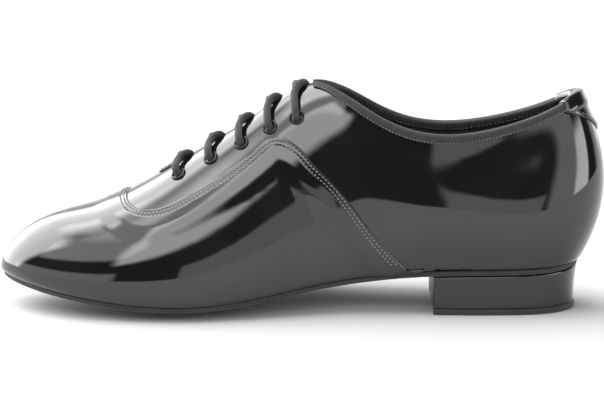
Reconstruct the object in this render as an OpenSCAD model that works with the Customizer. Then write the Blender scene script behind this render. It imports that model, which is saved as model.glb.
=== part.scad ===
// Lace-up patent leather dance shoe for the right foot, laced over five pairs of eyelets.
// Toe towards -X, inner side of the foot towards -Y, floor at Z = 0.

/* [Last] */
// Length of the last, toe tip to heel seat
last_l = 278; // [262:1:300]
// Width of the last across the ball
ball_w = 87; // [80:1:96]
// Height of the last at the top of the lacing, above its bottom edge
instep_h = 93; // [86:1:104]
// Height of the heel seat edge above the floor
seat_h = 22; // [19:0.5:28]
// Height of the toe tip above the floor
toe_h = 17; // [12:0.5:20]
// Height of the last's edge above the floor at the ball
tread_h = 6; // [5:0.5:7]

/* [Upper] */
// Thickness of the patent outer leather
outer_t = 1; // [0.8:0.1:1.3]
// Thickness of the toe puff, heel counter and facing stays
stiff_t = 0.8; // [0.5:0.1:1]
// Thickness of the linings
lining_t = 0.8; // [0.6:0.1:1]
// Width by which the vamp laps over the quarters
lap_w = 8; // [6:0.5:10]
// Distance of each facing edge from the middle of the lacing
facing_gap = 2; // [1.5:0.5:4]
// Thickness of the tongue leather
tongue_t = 1.2; // [0.8:0.1:1.6]
// Angle by which the tongue can lift from its lowest place
tongue_lift = 5; // [2:1:6]
// Drop of the binding below the topline
binding_w = 3.6; // [3:0.2:5]

/* [Lacing] */
// Distance of the eyelets from the middle of the lacing
eyelet_edge = 15; // [13:0.5:17]
// Bore of each eyelet
eyelet_bore = 4.8; // [4.4:0.1:5.2]
// Outer diameter of each eyelet's flange
flange_d = 7.4; // [7:0.1:8.2]
// Diameter of the lace
lace_d = 3.2; // [3:0.1:3.6]

/* [Bottom] */
// Thickness of the suede outsole
sole_t = 2.2; // [1.6:0.1:2.6]
// Thickness of the insole board
board_t = 1.6; // [1.2:0.1:2.2]
// Thickness of the sock lining
sock_t = 0.8; // [0.6:0.1:1.2]
// Distance of the outsole's edge inside the last's edge
sole_inset = 1.2; // [0.8:0.1:2]
// Width of the steel shank
shank_w = 13; // [10:1:16]
// Thickness of the steel shank
shank_t = 1.2; // [1:0.1:1.5]

/* [Heel] */
// Thickness of the patent cover round the heel block
cover_t = 0.8; // [0.6:0.1:1.1]
// Thickness of the heel's top piece
top_piece_t = 2.4; // [2:0.1:4]
// Taper of the heel from seat to floor
heel_taper = 1.4; // [0:0.1:2.5]
// Diameter of the heel nails
nail_d = 1.6; // [1.2:0.1:2]
// Diameter of the heel screw
screw_d = 4; // [3.5:0.1:5]

/* [Hidden] */
$fn = 48;

// Fits
layer_gap = 0.15;          // between two glued layers
fit_gap = 0.2;             // round nails, rivets and eyelet barrels
origin_x = 142.23;          // toe tip to the middle of the shoe
origin_y = -0.5;

// The last as stations from toe tip to heel, with one row each:
// 0 x, 1 inner edge y, 2 outer edge y, 3 toe rise, 4 seat rise, 5 top x, 6 inner top y,
// 7 outer top y, 8 top height, 9 side bulge, 10 lower handle, 11 upper handle out,
// 12 upper handle down, 13 hollow across the bottom
stations = [
    [ -2,  -6, -6, 1.00, 0.00,  -2,  -6, -6,    0,  0,  0,  0,  0, 0.0],
    [  6, -21,  8, 0.86, 0.00,   6,  -6, -6,   18,  4,  9,  9,  0, 0.6],
    [ 26, -35, 21, 0.58, 0.00,  26,  -6, -6, 32.5,  5, 14, 17,  0, 1.8],
    [ 55, -43, 33, 0.23, 0.00,  55,  -5, -5,   45,  6, 20, 24,  0, 3.8],
    [ 90, -44, 43, 0.02, 0.02,  88,  -4, -4,   65,  5, 28, 24,  0, 4.8],
    [122, -37, 43, 0.00, 0.21, 119,  -4, -4, 81.5,  5, 34, 21,  0, 3.6],
    [148, -30, 38, 0.00, 0.50, 145,  -5, -3,   93,  5, 34, 17,  4, 2.0],
    [170, -27, 35, 0.00, 0.72, 166, -18, 15, 83.5,  6, 32,  6, 16, 1.0],
    [196, -27, 32, 0.00, 0.90, 190, -25, 22,   68,  8, 30,  2, 24, 0.4],
    [225, -27, 29, 0.00, 0.97, 220, -25, 22,   64,  9, 30,  2, 24, 0.2],
    [255, -24, 25, 0.00, 1.00, 252, -18, 17,   71, 11, 30,  4, 22, 0.0],
    [272, -13, 13, 0.00, 1.08, 269, -10, 10, 77.5, 16, 30, 10, 20, 0.0],
    [276,   0,  0, 0.00, 1.12, 274,   0,  0,   79, 18, 30, 12, 20, 0.0],
];
// Which columns change sign as the outline turns round the toe, and round the heel
odd_toe  = [0, 1, 1, 0, 0, 0, 0, 0, 1, 1, 1, 1, 1, 1];
odd_heel = [0, 1, 1, 0, 0, 0, 1, 1, 0, 0, 0, 0, 0, 0];
heel_u = len(stations) - 1;
beyond_toe  = [for (k = [0:13]) odd_toe[k] ? 2 * stations[0][k] - stations[1][k] : stations[1][k]];
beyond_heel = [for (k = [0:13]) odd_heel[k] ? -stations[heel_u - 1][k] : stations[heel_u - 1][k]];
rows = concat([beyond_toe], stations, [beyond_heel]);

// Scale from the table to the sizes above
kx = last_l / 278;
ky = ball_w / 87;
kz = instep_h / 93;
inner = -1;
outer = 1;

function clamp(a, low, high) = min(max(a, low), high);
function unit(a) = a / max(norm(a), 1e-6);
function ramp(a, from, to) = clamp((a - from) / (to - from), 0, 1);
function smooth(a, from, to) = let (t = ramp(a, from, to)) t * t * (3 - 2 * t);

// Smooth curve through the stations; u counts stations from the toe
function station(u) =
    let (i = clamp(floor(u), 0, heel_u - 1), f = u - i,
         a = rows[i], b = rows[i + 1], c = rows[i + 2], d = rows[i + 3])
    (2*f*f*f - 3*f*f + 1) * b + (f*f*f - 2*f*f + f) * (c - a) / 2
    + (3*f*f - 2*f*f*f) * c + (f*f*f - f*f) * (d - b) / 2;

function edge_h(s) = tread_h + s[3] * (toe_h - tread_h) + s[4] * (seat_h - tread_h);
function edge_y(s, side) = ky * (side < 0 ? s[1] : s[2]);
function edge_point(u, side) = let (s = station(u)) [kx * s[0] - origin_x, edge_y(s, side) - origin_y, edge_h(s)];
function top_point(u, side) =
    let (s = station(u))
    [kx * s[5] - origin_x, ky * (side < 0 ? s[6] : s[7]) - origin_y, edge_h(s) + kz * s[8]];

// Direction that points straight out of the outline, in plan
function plan_out(u, side) =
    let (w = clamp(u, 0.005, heel_u - 0.005), a = edge_point(w - 0.005, side), b = edge_point(w + 0.005, side))
    unit([side * (a[1] - b[1]), side * (b[0] - a[0]), 0]);

// Point on the last's side: v is 0 at the bottom edge and 1 at the crest or topline
function rib(u, side, v) =
    let (s = station(u), n = plan_out(u, side), lean = u > 6 ? 1 : 0,
         p0 = edge_point(u, side), p3 = top_point(u, side),
         p1 = p0 + n * s[9] + [0, 0, kz * s[10]],
         p2 = p3 + [n[0] * s[11] * lean, n[1] * s[11] * ky, -kz * s[12]], w = 1 - v)
    w*w*w * p0 + 3*v*w*w * p1 + 3*v*v*w * p2 + v*v*v * p3;

// Length of rib for one unit of v at the top, and direction up the rib there
function top_speed(u, side) = norm(rib(u, side, 1) - rib(u, side, 0.99)) * 100;

// Outward normal of the last's side; both sides share one along the crest and up the back
function side_slope(u, side, v) =
    let (w = clamp(u, 0.03, heel_u - 0.01), t = clamp(v, 0.01, 0.99),
         du = rib(w + 0.01, side, t) - rib(w - 0.01, side, t),
         dv = rib(w, side, t + 0.01) - rib(w, side, t - 0.01))
    unit(cross(du, dv)) * (side < 0 ? 1 : -1);
function side_normal(u, side, v) =
    u <= 0 ? [-1, 0, 0]
    : u >= heel_u || (v >= 1 && u < 5.9) ? unit(side_slope(u, inner, v) + side_slope(u, outer, v))
    : side_slope(u, side, v);

// Point of the last's bottom, inset from the edge and raised by lift
function bottom(u, side, inset, lift) =
    let (s = station(u), y0 = edge_y(s, inner), y1 = edge_y(s, outer), half = (y1 - y0) / 2,
         in = min(inset, half), y = side < 0 ? y0 + in : y1 - in,
         d = half > 0.01 ? 1 - in / half : 1)
    [kx * s[0] - origin_x, y - origin_y, edge_h(s) - s[13] * (1 - d * d) + lift];

// Half width of the last's bottom
function half_width(u) = let (s = station(u)) ky * (s[2] - s[1]) / 2;

// Point of a layer of the upper. e from 0 to 1 runs up the side, e = -1 and -2 lie on the bottom;
// depth is measured inward from the last's outer surface
function skin(u, side, e, depth) =
    e >= 0 ? rib(u, side, e) - side_normal(u, side, e) * depth
    : let (inset = e < -1.5 ? min(13, half_width(u) * 0.45) : min(4, half_width(u) * 0.25),
           nose = max(0, 1 - u), back = max(0, u - heel_u + 1))
      bottom(u, side, inset, 0) - (u > 0 ? unit([back - nose, 0, -1]) : [-1, 0, 0]) * depth;

// Upper edge of the vamp, as v along the stations
seam = [[3.16, 1], [3.2, 0.79], [3.31, 0.69], [3.49, 0.61], [3.76, 0.58], [4.15, 0.605], [4.69, 0.63],
        [5.23, 0.68], [5.38, 0.665], [5.53, 0.635], [5.74, 0.59], [5.92, 0.54], [6.11, 0.49],
        [6.56, 0.43], [7.01, 0.335], [7.46, 0.175], [7.75, 0.07], [7.95, 0]];
function seam_v(u) = u <= seam[0][0] ? 1 : u >= 7.95 ? 0 : lookup(u, seam);
// Top edge of quarters and their linings: closed at the front, then the facing edge, then the topline
function facing_v(u, side) =
    let (cut = max(0.15, facing_gap * smooth(u, 3.4, 3.7)) / top_speed(min(u, 6), side))
    1 - cut * (1 - smooth(u, 5.9, 6.5));

// Grid lines shared by every layer, so that the layers nest
us = concat([0, 0.2, 0.45, 0.7], [for (k = [3:35]) k / 3], [heel_u]);
vs = [-2, -1, 0.03, 0.11, 0.2, 0.29, 0.38, 0.47, 0.56, 0.65, 0.74, 0.82, 0.9, 1];
function us_between(from, to) = concat([from], [for (u = us) if (u > from + 0.06 && u < to - 0.06) u], [to]);

// Whether a triangle has three separate corners
function whole(points, f) = min([for (k = [0:2]) norm(points[f[k]] - points[f[(k+1) % 3]])]) > 0.001;

// Closed shell between an outer and an inner grid of points. marks holds [u, side, e] for each point;
// cells whose rows have met are left out, and the open edges are walled.
module shell(marks, outside, inside, flip) {
    ni = len(marks);
    nj = len(marks[0]);
    n = ni * nj;
    function gone(i, j) = i < 0 || j < 0 || i >= ni - 1 || j >= nj - 1
        || (marks[i][j][2] == marks[i][j+1][2] && marks[i+1][j][2] == marks[i+1][j+1][2]);
    function crest(i, j) = i >= 0 && j >= 0 && i < ni - 1 && j < nj - 1
        && marks[i][j][1] != marks[i][j+1][1] && marks[i][j][2] == 1 && marks[i+1][j][2] == 1;
    function id(i, j) = i * nj + j;
    function wall(a, b) = [[b, a, a + n], [b, a + n, b + n]];
    faces = [for (i = [0:ni-2], j = [0:nj-2]) if (!gone(i, j))
        let (a = id(i, j), b = id(i, j+1), c = id(i+1, j+1), d = id(i+1, j))
        each concat([[a, b, c], [a, c, d], [a + n, c + n, b + n], [a + n, d + n, c + n]],
            gone(i-1, j) ? wall(a, b) : [],
            gone(i, j+1) && !crest(i, j+1) ? wall(b, c) : [],
            gone(i+1, j) ? wall(c, d) : [],
            gone(i, j-1) && !crest(i, j-1) ? wall(d, a) : [])];
    points = [each each outside, each each inside];
    polyhedron(points, [for (f = faces) if (whole(points, f)) flip ? [f[2], f[1], f[0]] : f], convexity = 12);
}

module layer(marks, near, far, flip = false) {
    shell(marks,
        [for (c = marks) [for (m = c) skin(m[0], m[1], m[2], near)]],
        [for (c = marks) [for (m = c) skin(m[0], m[1], m[2], far)]], flip);
}

// Depths of the glued layers of the upper
stiff_d = outer_t + layer_gap;
lining_d = stiff_d + stiff_t + layer_gap;
inside_d = lining_d + lining_t;

// ---------- upper ----------

// The vamp stands proud of the quarters where it laps over them
function lap_lift(u, e) =
    let (reach = (seam_v(max(u + 0.2, 3.2)) - e) * 70, ahead = (3.16 - u) * 28)
    e < 0 ? 0 : (outer_t + 2 * layer_gap) * smooth(max(reach, ahead), lap_w * 2.2, lap_w * 1.2);

function vamp_rows(u, low, high) = concat(
    [for (k = [0:13]) [u, outer, clamp(vs[k], low, high)]],
    [for (k = [13:-1:0]) [u, inner, clamp(vs[k], low, high)]]);
vamp_us = concat(us_between(0, 3.16), [3.2, 3.31, 3.5], us_between(3.76, 7.3), [7.46, 7.75]);

// The vamp's lasting margin stops before the quarters' begins
function vamp_low(u) = u < 7.1 ? -2 : 0.03;

module vamp() {
    marks = [for (u = vamp_us) vamp_rows(u, vamp_low(u), max(seam_v(u), 0.06))];
    color("#17171a") shell(marks,
        [for (c = marks) [for (m = c) skin(m[0], m[1], m[2], -lap_lift(m[0], m[2]))]],
        [for (c = marks) [for (m = c) skin(m[0], m[1], m[2], outer_t - lap_lift(m[0], m[2]))]], true);
}

module vamp_lining() {
    marks = [for (u = vamp_us) if (u > 0.6 && u < 7.35)
        vamp_rows(u, vamp_low(u), seam_v(u) - (u > 3.18 ? 0.012 : 0))];
    color("#2b2b2e") layer(marks, lining_d, inside_d, true);
}

module toe_puff() {
    marks = [for (u = us_between(0.7, 2)) vamp_rows(u, 0.03, 1)];
    color("#c9c2b4") layer(marks, stiff_d, stiff_d + stiff_t, true);
}

function side_marks(columns, side, low, high) =
    [for (u = columns) [for (v = vs) [u, side, clamp(v, low[0] + 0, high[0] + 0)]]];

quarter_us = concat([2.95, 3.16, 3.31, 3.5], us_between(3.76, 7.3), [7.46, 7.75], us_between(8, heel_u - 0.02));
function quarter_low(u) = u > 7.4 ? -2 : max(0.03, seam_v(max(u + lap_w / 40, 3.2)) - lap_w / 75);

module quarter(side) {
    marks = [for (u = quarter_us) [for (v = vs) [u, side, clamp(v, quarter_low(u), facing_v(u, side))]]];
    color("#1a1a1d") difference() {
        layer(marks, 0, outer_t, side > 0);
        eyelet_holes(side, -1, outer_t + 1);
    }
}
module quarter_medial() { quarter(inner); }
module quarter_lateral() { quarter(outer); }

module quarter_lining() {
    columns = concat([for (u = quarter_us) if (u > 3.25 && u < 12) [u, inner]], [[heel_u, outer]],
        [for (k = [len(quarter_us)-1:-1:0]) if (quarter_us[k] > 3.25 && quarter_us[k] < 11.9) [quarter_us[k], outer]]);
    marks = [for (c = columns) let (u = c[0])
        [for (v = vs) [u, c[1], clamp(v, u > 7.4 ? -2 : seam_v(u) + 0.012, facing_v(u, c[1]))]]];
    color("#26262a") difference() {
        layer(marks, lining_d, inside_d);
        for (side = [inner, outer]) eyelet_holes(side, lining_d - 1, inside_d + 1);
    }
}

module facing_stay(side) {
    marks = [for (u = us_between(3.6, 6)) [for (v = vs) [u, side, clamp(v, 0.7, 0.93)]]];
    color("#d8d4c8") difference() {
        layer(marks, stiff_d, stiff_d + stiff_t, side > 0);
        eyelet_holes(side, stiff_d - 1, stiff_d + stiff_t + 1);
    }
}
module facing_stay_medial() { facing_stay(inner); }
module facing_stay_lateral() { facing_stay(outer); }

// Columns round the back of the shoe from one side to the other
function round_back(from) = concat([for (u = us_between(from, heel_u)) if (u < heel_u) [u, inner]],
    [for (c = [len(us)-1:-1:0]) if (us[c] > from + 0.06) [us[c], outer]], [[from, outer]]);

module heel_counter() {
    marks = [for (c = round_back(9)) [for (v = vs) [c[0], c[1], clamp(v, 0.03, 0.7 - 0.05 * (heel_u - c[0]))]]];
    color("#c9c2b4") layer(marks, stiff_d, stiff_d + stiff_t);
}

module heel_grip() {
    marks = [for (c = round_back(9.8)) [for (v = vs) [c[0], c[1], clamp(v, 0.3, 0.84)]]];
    color("#3a3a3c") layer(marks, inside_d + 0.3, inside_d + 0.9);
}

// Point measured down from the top edge: drop in mm down the rib, negative above it
function from_top(u, side, drop, depth) =
    let (v = 1 - max(drop, 0) / top_speed(u, side), up = unit(rib(u, side, 1) - rib(u, side, 0.97)))
    skin(u, side, v, depth) + up * max(-drop, 0);

// Closed band swept along the topline; sections holds one ring of points per column
module band(sections) {
    ni = len(sections);
    nj = len(sections[0]);
    sides = [for (i = [0:ni-2], j = [0:nj-1]) let (a = i*nj + j, b = i*nj + (j+1) % nj)
        each [[a, b, b + nj], [a, b + nj, a + nj]]];
    // the first half of each section faces its second half, so the ends close in pairs
    starts = [for (k = [0:nj/2 - 2]) each [[k + 1, k, nj - 1 - k], [k + 1, nj - 1 - k, nj - 2 - k]]];
    last_at = (ni - 1) * nj;
    ends = [for (t = starts) [last_at + t[2], last_at + t[1], last_at + t[0]]];
    polyhedron([each each sections], concat(sides, starts, ends), convexity = 8);
}

bind_t = 0.5;
bind_fit = 0.35;
module topline_binding() {
    inside_b = inside_d + bind_fit;
    ring = [[binding_w, -bind_fit - bind_t], [0, -bind_fit - bind_t], [-bind_fit - bind_t, 0.6], [-bind_fit - bind_t, inside_d - 0.6],
            [0, inside_b + bind_t], [binding_w, inside_b + bind_t], [binding_w, inside_b], [0, inside_b],
            [-bind_fit, inside_b], [-bind_fit, -bind_fit], [0, -bind_fit], [binding_w, -bind_fit]];
    color("#1d1d20") band([for (c = round_back(6.3)) [for (p = ring) from_top(c[0], c[1], p[0], p[1])]]);
}

tab_t = 0.8;
tab_half = 4 / 3;          // how far the tab reaches round the back, in stations
tab_slope = 14.5;          // how much further down it reaches at the back seam
module heel_tab() {
    out_b = -bind_fit - bind_t - bind_fit;
    in_b = inside_d + bind_fit + bind_t + bind_fit;
    tab_rows = 8;
    // its side edge runs straight down and back, from the topline to the back seam
    function shield(u) = binding_w + 0.8 + tab_slope * min(1, (u - heel_u + tab_half) / tab_half);
    // over the binding it stands clear, below it lies on the leather
    function lean(d) = out_b + (-layer_gap - out_b) * smooth(d, binding_w + 0.6, binding_w + 3.2);
    function ring(u) = concat(
        [for (k = [tab_rows:-1:0]) let (d = shield(u) * k / tab_rows) [d, lean(d) - tab_t]],
        [[-1.9, 0.4], [-1.9, inside_d - 0.4], [0, in_b + tab_t], [3, in_b + tab_t], [6, in_b + tab_t],
         [6, in_b], [3, in_b], [0, in_b], [-1.1, in_b], [-1.1, out_b]],
        [for (k = [0:tab_rows]) let (d = shield(u) * k / tab_rows) [d, lean(d)]]);
    color("#17171a") band([for (c = round_back(heel_u - tab_half)) [for (p = ring(c[0])) from_top(c[0], c[1], p[0], p[1])]]);
}

// ---------- tongue ----------

hinge = [-79, 0, 47];    // where the tongue is sewn under the throat
tongue_droop = 5;        // how far the tongue hangs below the lacing, in degrees
tongue_us = [for (k = [0:9]) 3.1 + k * 0.332];
function tongue_depth(u) = inside_d + 0.9 + 6.2 * smooth(u, 3.1, 3.85);
function tongue_low(u) = 0.86 - 0.14 * smooth(u, 3.1, 5.6);

module tongue_layer(near, far) {
    marks = [for (u = tongue_us) let (low = tongue_low(u)) concat(
        [for (k = [0:4]) [u, outer, low + (1 - low) * k / 4]],
        [for (k = [3:-1:0]) [u, inner, low + (1 - low) * k / 4]])];
    function place(u, side, e, depth) =
        let (w = min(u, 6), d = tongue_depth(u) + depth)
        (e < 1 ? skin(w, side, e, d) : (skin(w, inner, 1, d) + skin(w, outer, 1, d)) / 2) + past(u);
    translate(hinge) rotate([0, tongue_droop, 0]) translate(-hinge) shell(marks,
        [for (c = marks) [for (m = c) place(m[0], m[1], m[2], near)]],
        [for (c = marks) [for (m = c) place(m[0], m[1], m[2], far)]], true);
}
function past(u) = [26, 0, 13] * max(0, u - 6);
module tongue() { color("#1f1f22") tongue_layer(0, tongue_t); }
module tongue_lining() { color("#303034") tongue_layer(tongue_t + layer_gap, tongue_t + layer_gap + 0.7); }

// ---------- eyelets ----------

function eyelet_u(k) = 3.91 + 0.465 * k;
function eyelet_v(k, side) = 1 - eyelet_edge / top_speed(eyelet_u(k), side);
wall_d = inside_d;       // depth of the facing at the eyelets
barrel_t = 0.35;

// Puts its children at an eyelet with Z pointing out of the shoe
module at_eyelet(k, side) {
    n = side_normal(eyelet_u(k), side, eyelet_v(k, side));
    translate(rib(eyelet_u(k), side, eyelet_v(k, side)))
        rotate([0, acos(n[2]), atan2(n[1], n[0])]) children();
}

module eyelet_holes(side, from, to) {
    for (k = [0:4]) at_eyelet(k, side)
        translate([0, 0, -to]) cylinder(d = eyelet_bore + 2 * barrel_t + 2 * fit_gap, h = to - from);
}

module eyelets(side) {
    inner_r = eyelet_bore / 2;
    color("#2a2b2e") for (k = [0:4]) at_eyelet(k, side) rotate_extrude() polygon([
        [inner_r, -wall_d - 0.7], [inner_r, 0.6], [inner_r + 0.3, 0.9], [flange_d / 2 - 0.3, 0.9],
        [flange_d / 2, 0.6], [flange_d / 2, 0.3], [inner_r + barrel_t, 0.3],
        [inner_r + barrel_t, -wall_d - 0.3], [flange_d / 2 - 0.4, -wall_d - 0.3], [flange_d / 2 - 0.4, -wall_d - 0.7]]);
}
module eyelets_medial() { eyelets(inner); }
module eyelets_lateral() { eyelets(outer); }

// ---------- lace ----------

// Points of a strand as [along, across, above]: along the lacing from its eyelet, across from the
// crest, above the leather. The over strand crosses on top, the under strand passes beneath it.
over_out   = [[0, 10.5, 2.9], [0.4, 6.6, 2.35], [2.2, 3.7, 2.35], [4.2, 1.8, 1.9], [5.6, 0, 0], [6.2, 0, -4.6]];
over_back  = [[9, 4.2, -7], [-4, 12, -7]];
under_out  = [[0.3, 9.5, 2.9], [0.8, 5, 2.35], [1.3, 2.2, 1.9], [1.9, 0, 0], [2.2, 0, -4.6]];
under_back = [[5, 4.2, -7], [-4, 12, -7]];
// Ends of the lace, tucked into the shoe
end_lateral = [[10, 3.6, 99.6], [18, 7, 95.5], [26, 10, 85], [31, 12, 72], [38, 13, 59], [47, 13, 46], [58, 13, 37],
               [70, 12, 32], [94, 11, 31.5]];
end_medial  = [[10, -6, 99.5], [18, -9, 94], [25, -12, 82], [30, -13, 69], [37, -13, 55], [46, -12, 43],
               [57, -11, 34], [68, -10, 31], [92, -9, 31.5]];

function crest_step(k) = norm(rib(eyelet_u(k) + 0.2, inner, 1) - rib(eyelet_u(k) - 0.2, inner, 1)) / 0.4;
// A strand point near eyelet pair k; points with a negative along count back from the next pair
function strand_point(k, side, p) =
    let (j = p[0] < 0 ? k + 1 : k, u = eyelet_u(j) + p[0] / crest_step(min(j, 4)))
    abs(p[1]) < 1 ? (skin(u, inner, 1, -p[2]) + skin(u, outer, 1, -p[2])) / 2 + [0, side * p[1], 0]
    : skin(u, side, 1 - p[1] / top_speed(u, side), -p[2]);
function eyelet_run(k, side, heights) = [for (h = heights) skin(eyelet_u(k), side, eyelet_v(k, side), -h)];

// One strand: out of its own eyelet, over its facing, down the gap and under the other facing
function strand(k, side) = concat(
    eyelet_run(k, side, [-5.4, -3.2, 2.6]),
    [for (p = side < 0 ? over_out : under_out) strand_point(k, side, p)],
    [for (p = side < 0 ? over_back : under_back) if (k < 4 || p[0] > 0) strand_point(k, -side, p)]);
// The lace leaves both front eyelets, changing sides at each crossing
function half_lace(side, k = 0) = k > 4 ? [] : concat(strand(k, side), half_lace(-side, k + 1));
function reversed(a) = [for (k = [len(a)-1:-1:0]) a[k]];
lace_path = concat(reversed(concat(half_lace(inner), end_lateral)), [strand_point(0, inner, [0.1, 0, -7])],
                   half_lace(outer), end_medial);

// Tube swept along a path, one ring of points at each point of the path
module tube(path, d, sides) {
    n = len(path);
    dirs = [for (k = [0:n-1]) unit(path[min(k + 1, n - 1)] - path[max(k - 1, 0)])];
    ups = [for (k = 0, a = unit(cross(dirs[0], [0.1, 0.2, 1])); k < n;
            k = k + 1, a = unit(a - dirs[min(k, n - 1)] * (a * dirs[min(k, n - 1)]))) a];
    rings = [for (k = [0:n-1]) let (a = ups[k], b = cross(a, dirs[k]))
        [for (j = [0:sides-1]) path[k] + d / 2 * (cos(360 * j / sides) * a + sin(360 * j / sides) * b)]];
    band(rings);
}
module lace() { color("#2e2f33") tube(lace_path, lace_d, 8); }

aglet_l = 20;
module aglet(tip, from) {
    dir = unit(tip - from);
    translate(tip - dir * aglet_l) rotate([0, acos(dir[2]), atan2(dir[1], dir[0])]) difference() {
        cylinder(d = lace_d + 1, h = aglet_l);
        translate([0, 0, -1]) cylinder(d = lace_d + 0.3, h = aglet_l);
    }
}
module aglets() {
    n = len(lace_path);
    color("#202022") {
        aglet(lace_path[0] + unit(lace_path[0] - lace_path[1]) * 1.2, lace_path[1]);
        aglet(lace_path[n-1] + unit(lace_path[n-1] - lace_path[n-2]) * 1.2, lace_path[n-2]);
    }
}

// ---------- bottom ----------

// Shares of the half width at which the bottom pieces are drawn
across = [-1, -0.75, -0.4, 0, 0.4, 0.75, 1];
function bottom_marks(columns) = [for (u = columns) [for (k = [0:6]) [u, inner, k]]];
// Point of a bottom piece whose outline lies inside the last's edge by inset
function bottom_place(u, k, inset, lift) =
    let (half = half_width(u) - min(inset, half_width(u) * 0.9))
    bottom(u, across[k] < 0 ? inner : outer, half_width(u) - half * abs(across[k]), lift);

// Plate that follows the last's bottom between two heights
module plate(columns, inset, low, high) {
    marks = bottom_marks(columns);
    shell(marks, [for (c = marks) [for (m = c) bottom_place(m[0], m[2], inset, high)]],
                 [for (c = marks) [for (m = c) bottom_place(m[0], m[2], inset, low)]], false);
}

board_z = inside_d + 2 * layer_gap;            // underside of the insole board above the last's edge
sock_z = board_z + board_t + layer_gap;    // underside of the sock lining
plate_us = concat([0.25, 0.45, 0.7], [for (k = [3:35]) k / 3], [11.85]);

module insole_board() {
    color("#8a6f52") difference() {
        plate([for (u = plate_us) if (u > 0.6 && u < 11.7) u], inside_d + 2.2, board_z, board_z + board_t);
        rivet_holes();
        screw_hole();
    }
}
module sock_lining() { color("#303033") plate([for (u = plate_us) if (u > 0.9 && u < 11.7) u], inside_d + 3, sock_z, sock_z + sock_t); }
module heel_pad() {
    color("#3c3c40") plate([for (u = plate_us) if (u > 8.9 && u < 11.5) u], inside_d + 5, sock_z + sock_t + layer_gap, sock_z + sock_t + 1.6);
}
module ball_filler() {
    color("#b58f62") plate([for (u = plate_us) if (u > 1.2 && u < 5.2) u], 16, layer_gap, board_z - layer_gap);
}

shank_us = [for (k = [0:9]) 5.4 + k * 0.45];
module shank() {
    color("#b9bcc0") difference() {
        strip(shank_us, shank_w / 2, board_z - layer_gap - shank_t, board_z - layer_gap);
        rivet_holes();
    }
}
// Narrow strip along the middle of the bottom
module strip(columns, half, low, high) {
    marks = [for (u = columns) [for (k = [0:2]) [u, inner, k]]];
    function place(u, k, lift) = let (p = bottom(u, inner, half_width(u), lift)) p + [0, (k - 1) * half, 0];
    shell(marks, [for (c = marks) [for (m = c) place(m[0], m[2], high)]],
                 [for (c = marks) [for (m = c) place(m[0], m[2], low)]], false);
}

rivet_d = 3;
rivet_us = [5.85, 8.9];
function middle(u, lift) = bottom(u, inner, half_width(u), lift);
module rivet_holes() {
    for (u = rivet_us) translate(middle(u, board_z - 4)) cylinder(d = rivet_d + 2 * fit_gap, h = 8);
}
module shank_rivets() {
    color("#a8abb0") for (u = rivet_us) translate(middle(u, board_z - layer_gap - shank_t - 0.1))
        cylinder(d = rivet_d, h = shank_t + board_t);
}

module outsole() {
    marks = bottom_marks(plate_us);
    top = [for (c = marks) [for (m = c) bottom_place(m[0], m[2], sole_inset, -layer_gap)]];
    // the tread is worn flat where it meets the floor
    tread = [for (c = top) [for (p = c) [p[0], p[1], max(0, p[2] - sole_t)]]];
    color("#1b1a1a") difference() {
        shell(marks, top, tread, false);
        screw_hole();
    }
}

// ---------- heel ----------

breast_u = 8.33;
heel_us = concat([for (k = [0:10]) breast_u + k * 0.34], [11.85, heel_u]);
heel_line = concat([for (u = heel_us) if (u < heel_u) [u, inner]], [[heel_u, outer]],
    [for (k = [len(heel_us)-2:-1:0]) [heel_us[k], outer]]);
// Outline of the heel, inset from the last's edge, at height z
function heel_point(u, side, inset, z) =
    let (p = edge_point(u, side), n = plan_out(u, side)) [p[0] - n[0] * inset, p[1] - n[1] * inset, z];
// Height of the heel seat just under the outsole
function seat_z(u) = edge_h(station(u)) - sole_t - 2 * layer_gap - heel_gap;
heel_inset = 1.2;
heel_gap = 0.35;           // under the outsole

module heel_body(inset_top, inset_low, low) {
    n = len(heel_line);
    top = [for (c = heel_line) heel_point(c[0], c[1], inset_top, seat_z(c[0]))];
    base = [for (c = heel_line) heel_point(c[0], c[1], inset_low, low)];
    half = (n - 1) / 2;
    sides = [for (j = [0:n-1]) let (k = (j + 1) % n) each [[j, k, k + n], [j, k + n, j + n]]];
    caps = [for (j = [0:half-1]) let (a = j, b = j + 1, c = n - 2 - j, d = n - 1 - j)
        each concat([[d, c, b], [d, b, a]], [[a + n, b + n, c + n], [a + n, c + n, d + n]])];
    polyhedron(concat(top, base), concat(sides, caps), convexity = 4);
}

module heel_block() {
    color("#55565a") difference() {
        heel_body(heel_inset + cover_t + layer_gap, heel_inset + heel_taper + cover_t + layer_gap, top_piece_t + layer_gap);
        screw_hole();
        nail_holes();
    }
}

module heel_cover() {
    n = len(heel_line);
    marks = [for (c = heel_line) [for (j = [0:4]) [c[0], c[1], j]]];
    function place(u, side, j, inset) =
        heel_point(u, side, inset + heel_taper * (1 - j / 4),
                   top_piece_t + layer_gap + (seat_z(u) - top_piece_t - layer_gap) * j / 4);
    color("#2b2c2f") shell(marks,
        [for (c = marks) [for (m = c) place(m[0], m[1], m[2], heel_inset)]],
        [for (c = marks) [for (m = c) place(m[0], m[1], m[2], heel_inset + cover_t)]], false);
}

module heel_outline(inset) {
    polygon([for (c = heel_line) let (p = heel_point(c[0], c[1], inset, 0)) [p[0], p[1]]]);
}

module heel_top_piece() {
    color("#232222") difference() {
        linear_extrude(top_piece_t) heel_outline(heel_inset + heel_taper - 0.5);
        nail_holes();
    }
}

nail_spots = [[9, inner], [9, outer], [10.2, inner], [10.2, outer], [11.9, inner]];
function nail_place(s) = heel_point(s[0], s[1], 10, 0);
module nail_holes() {
    for (s = nail_spots) translate(nail_place(s) + [0, 0, 0.6]) cylinder(d = nail_d + 2 * fit_gap, h = 12.4);
}
module heel_nails() {
    color("#b5b7ba") for (s = nail_spots) translate(nail_place(s) + [0, 0, 0.8]) cylinder(d = nail_d, h = 12);
}

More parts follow.
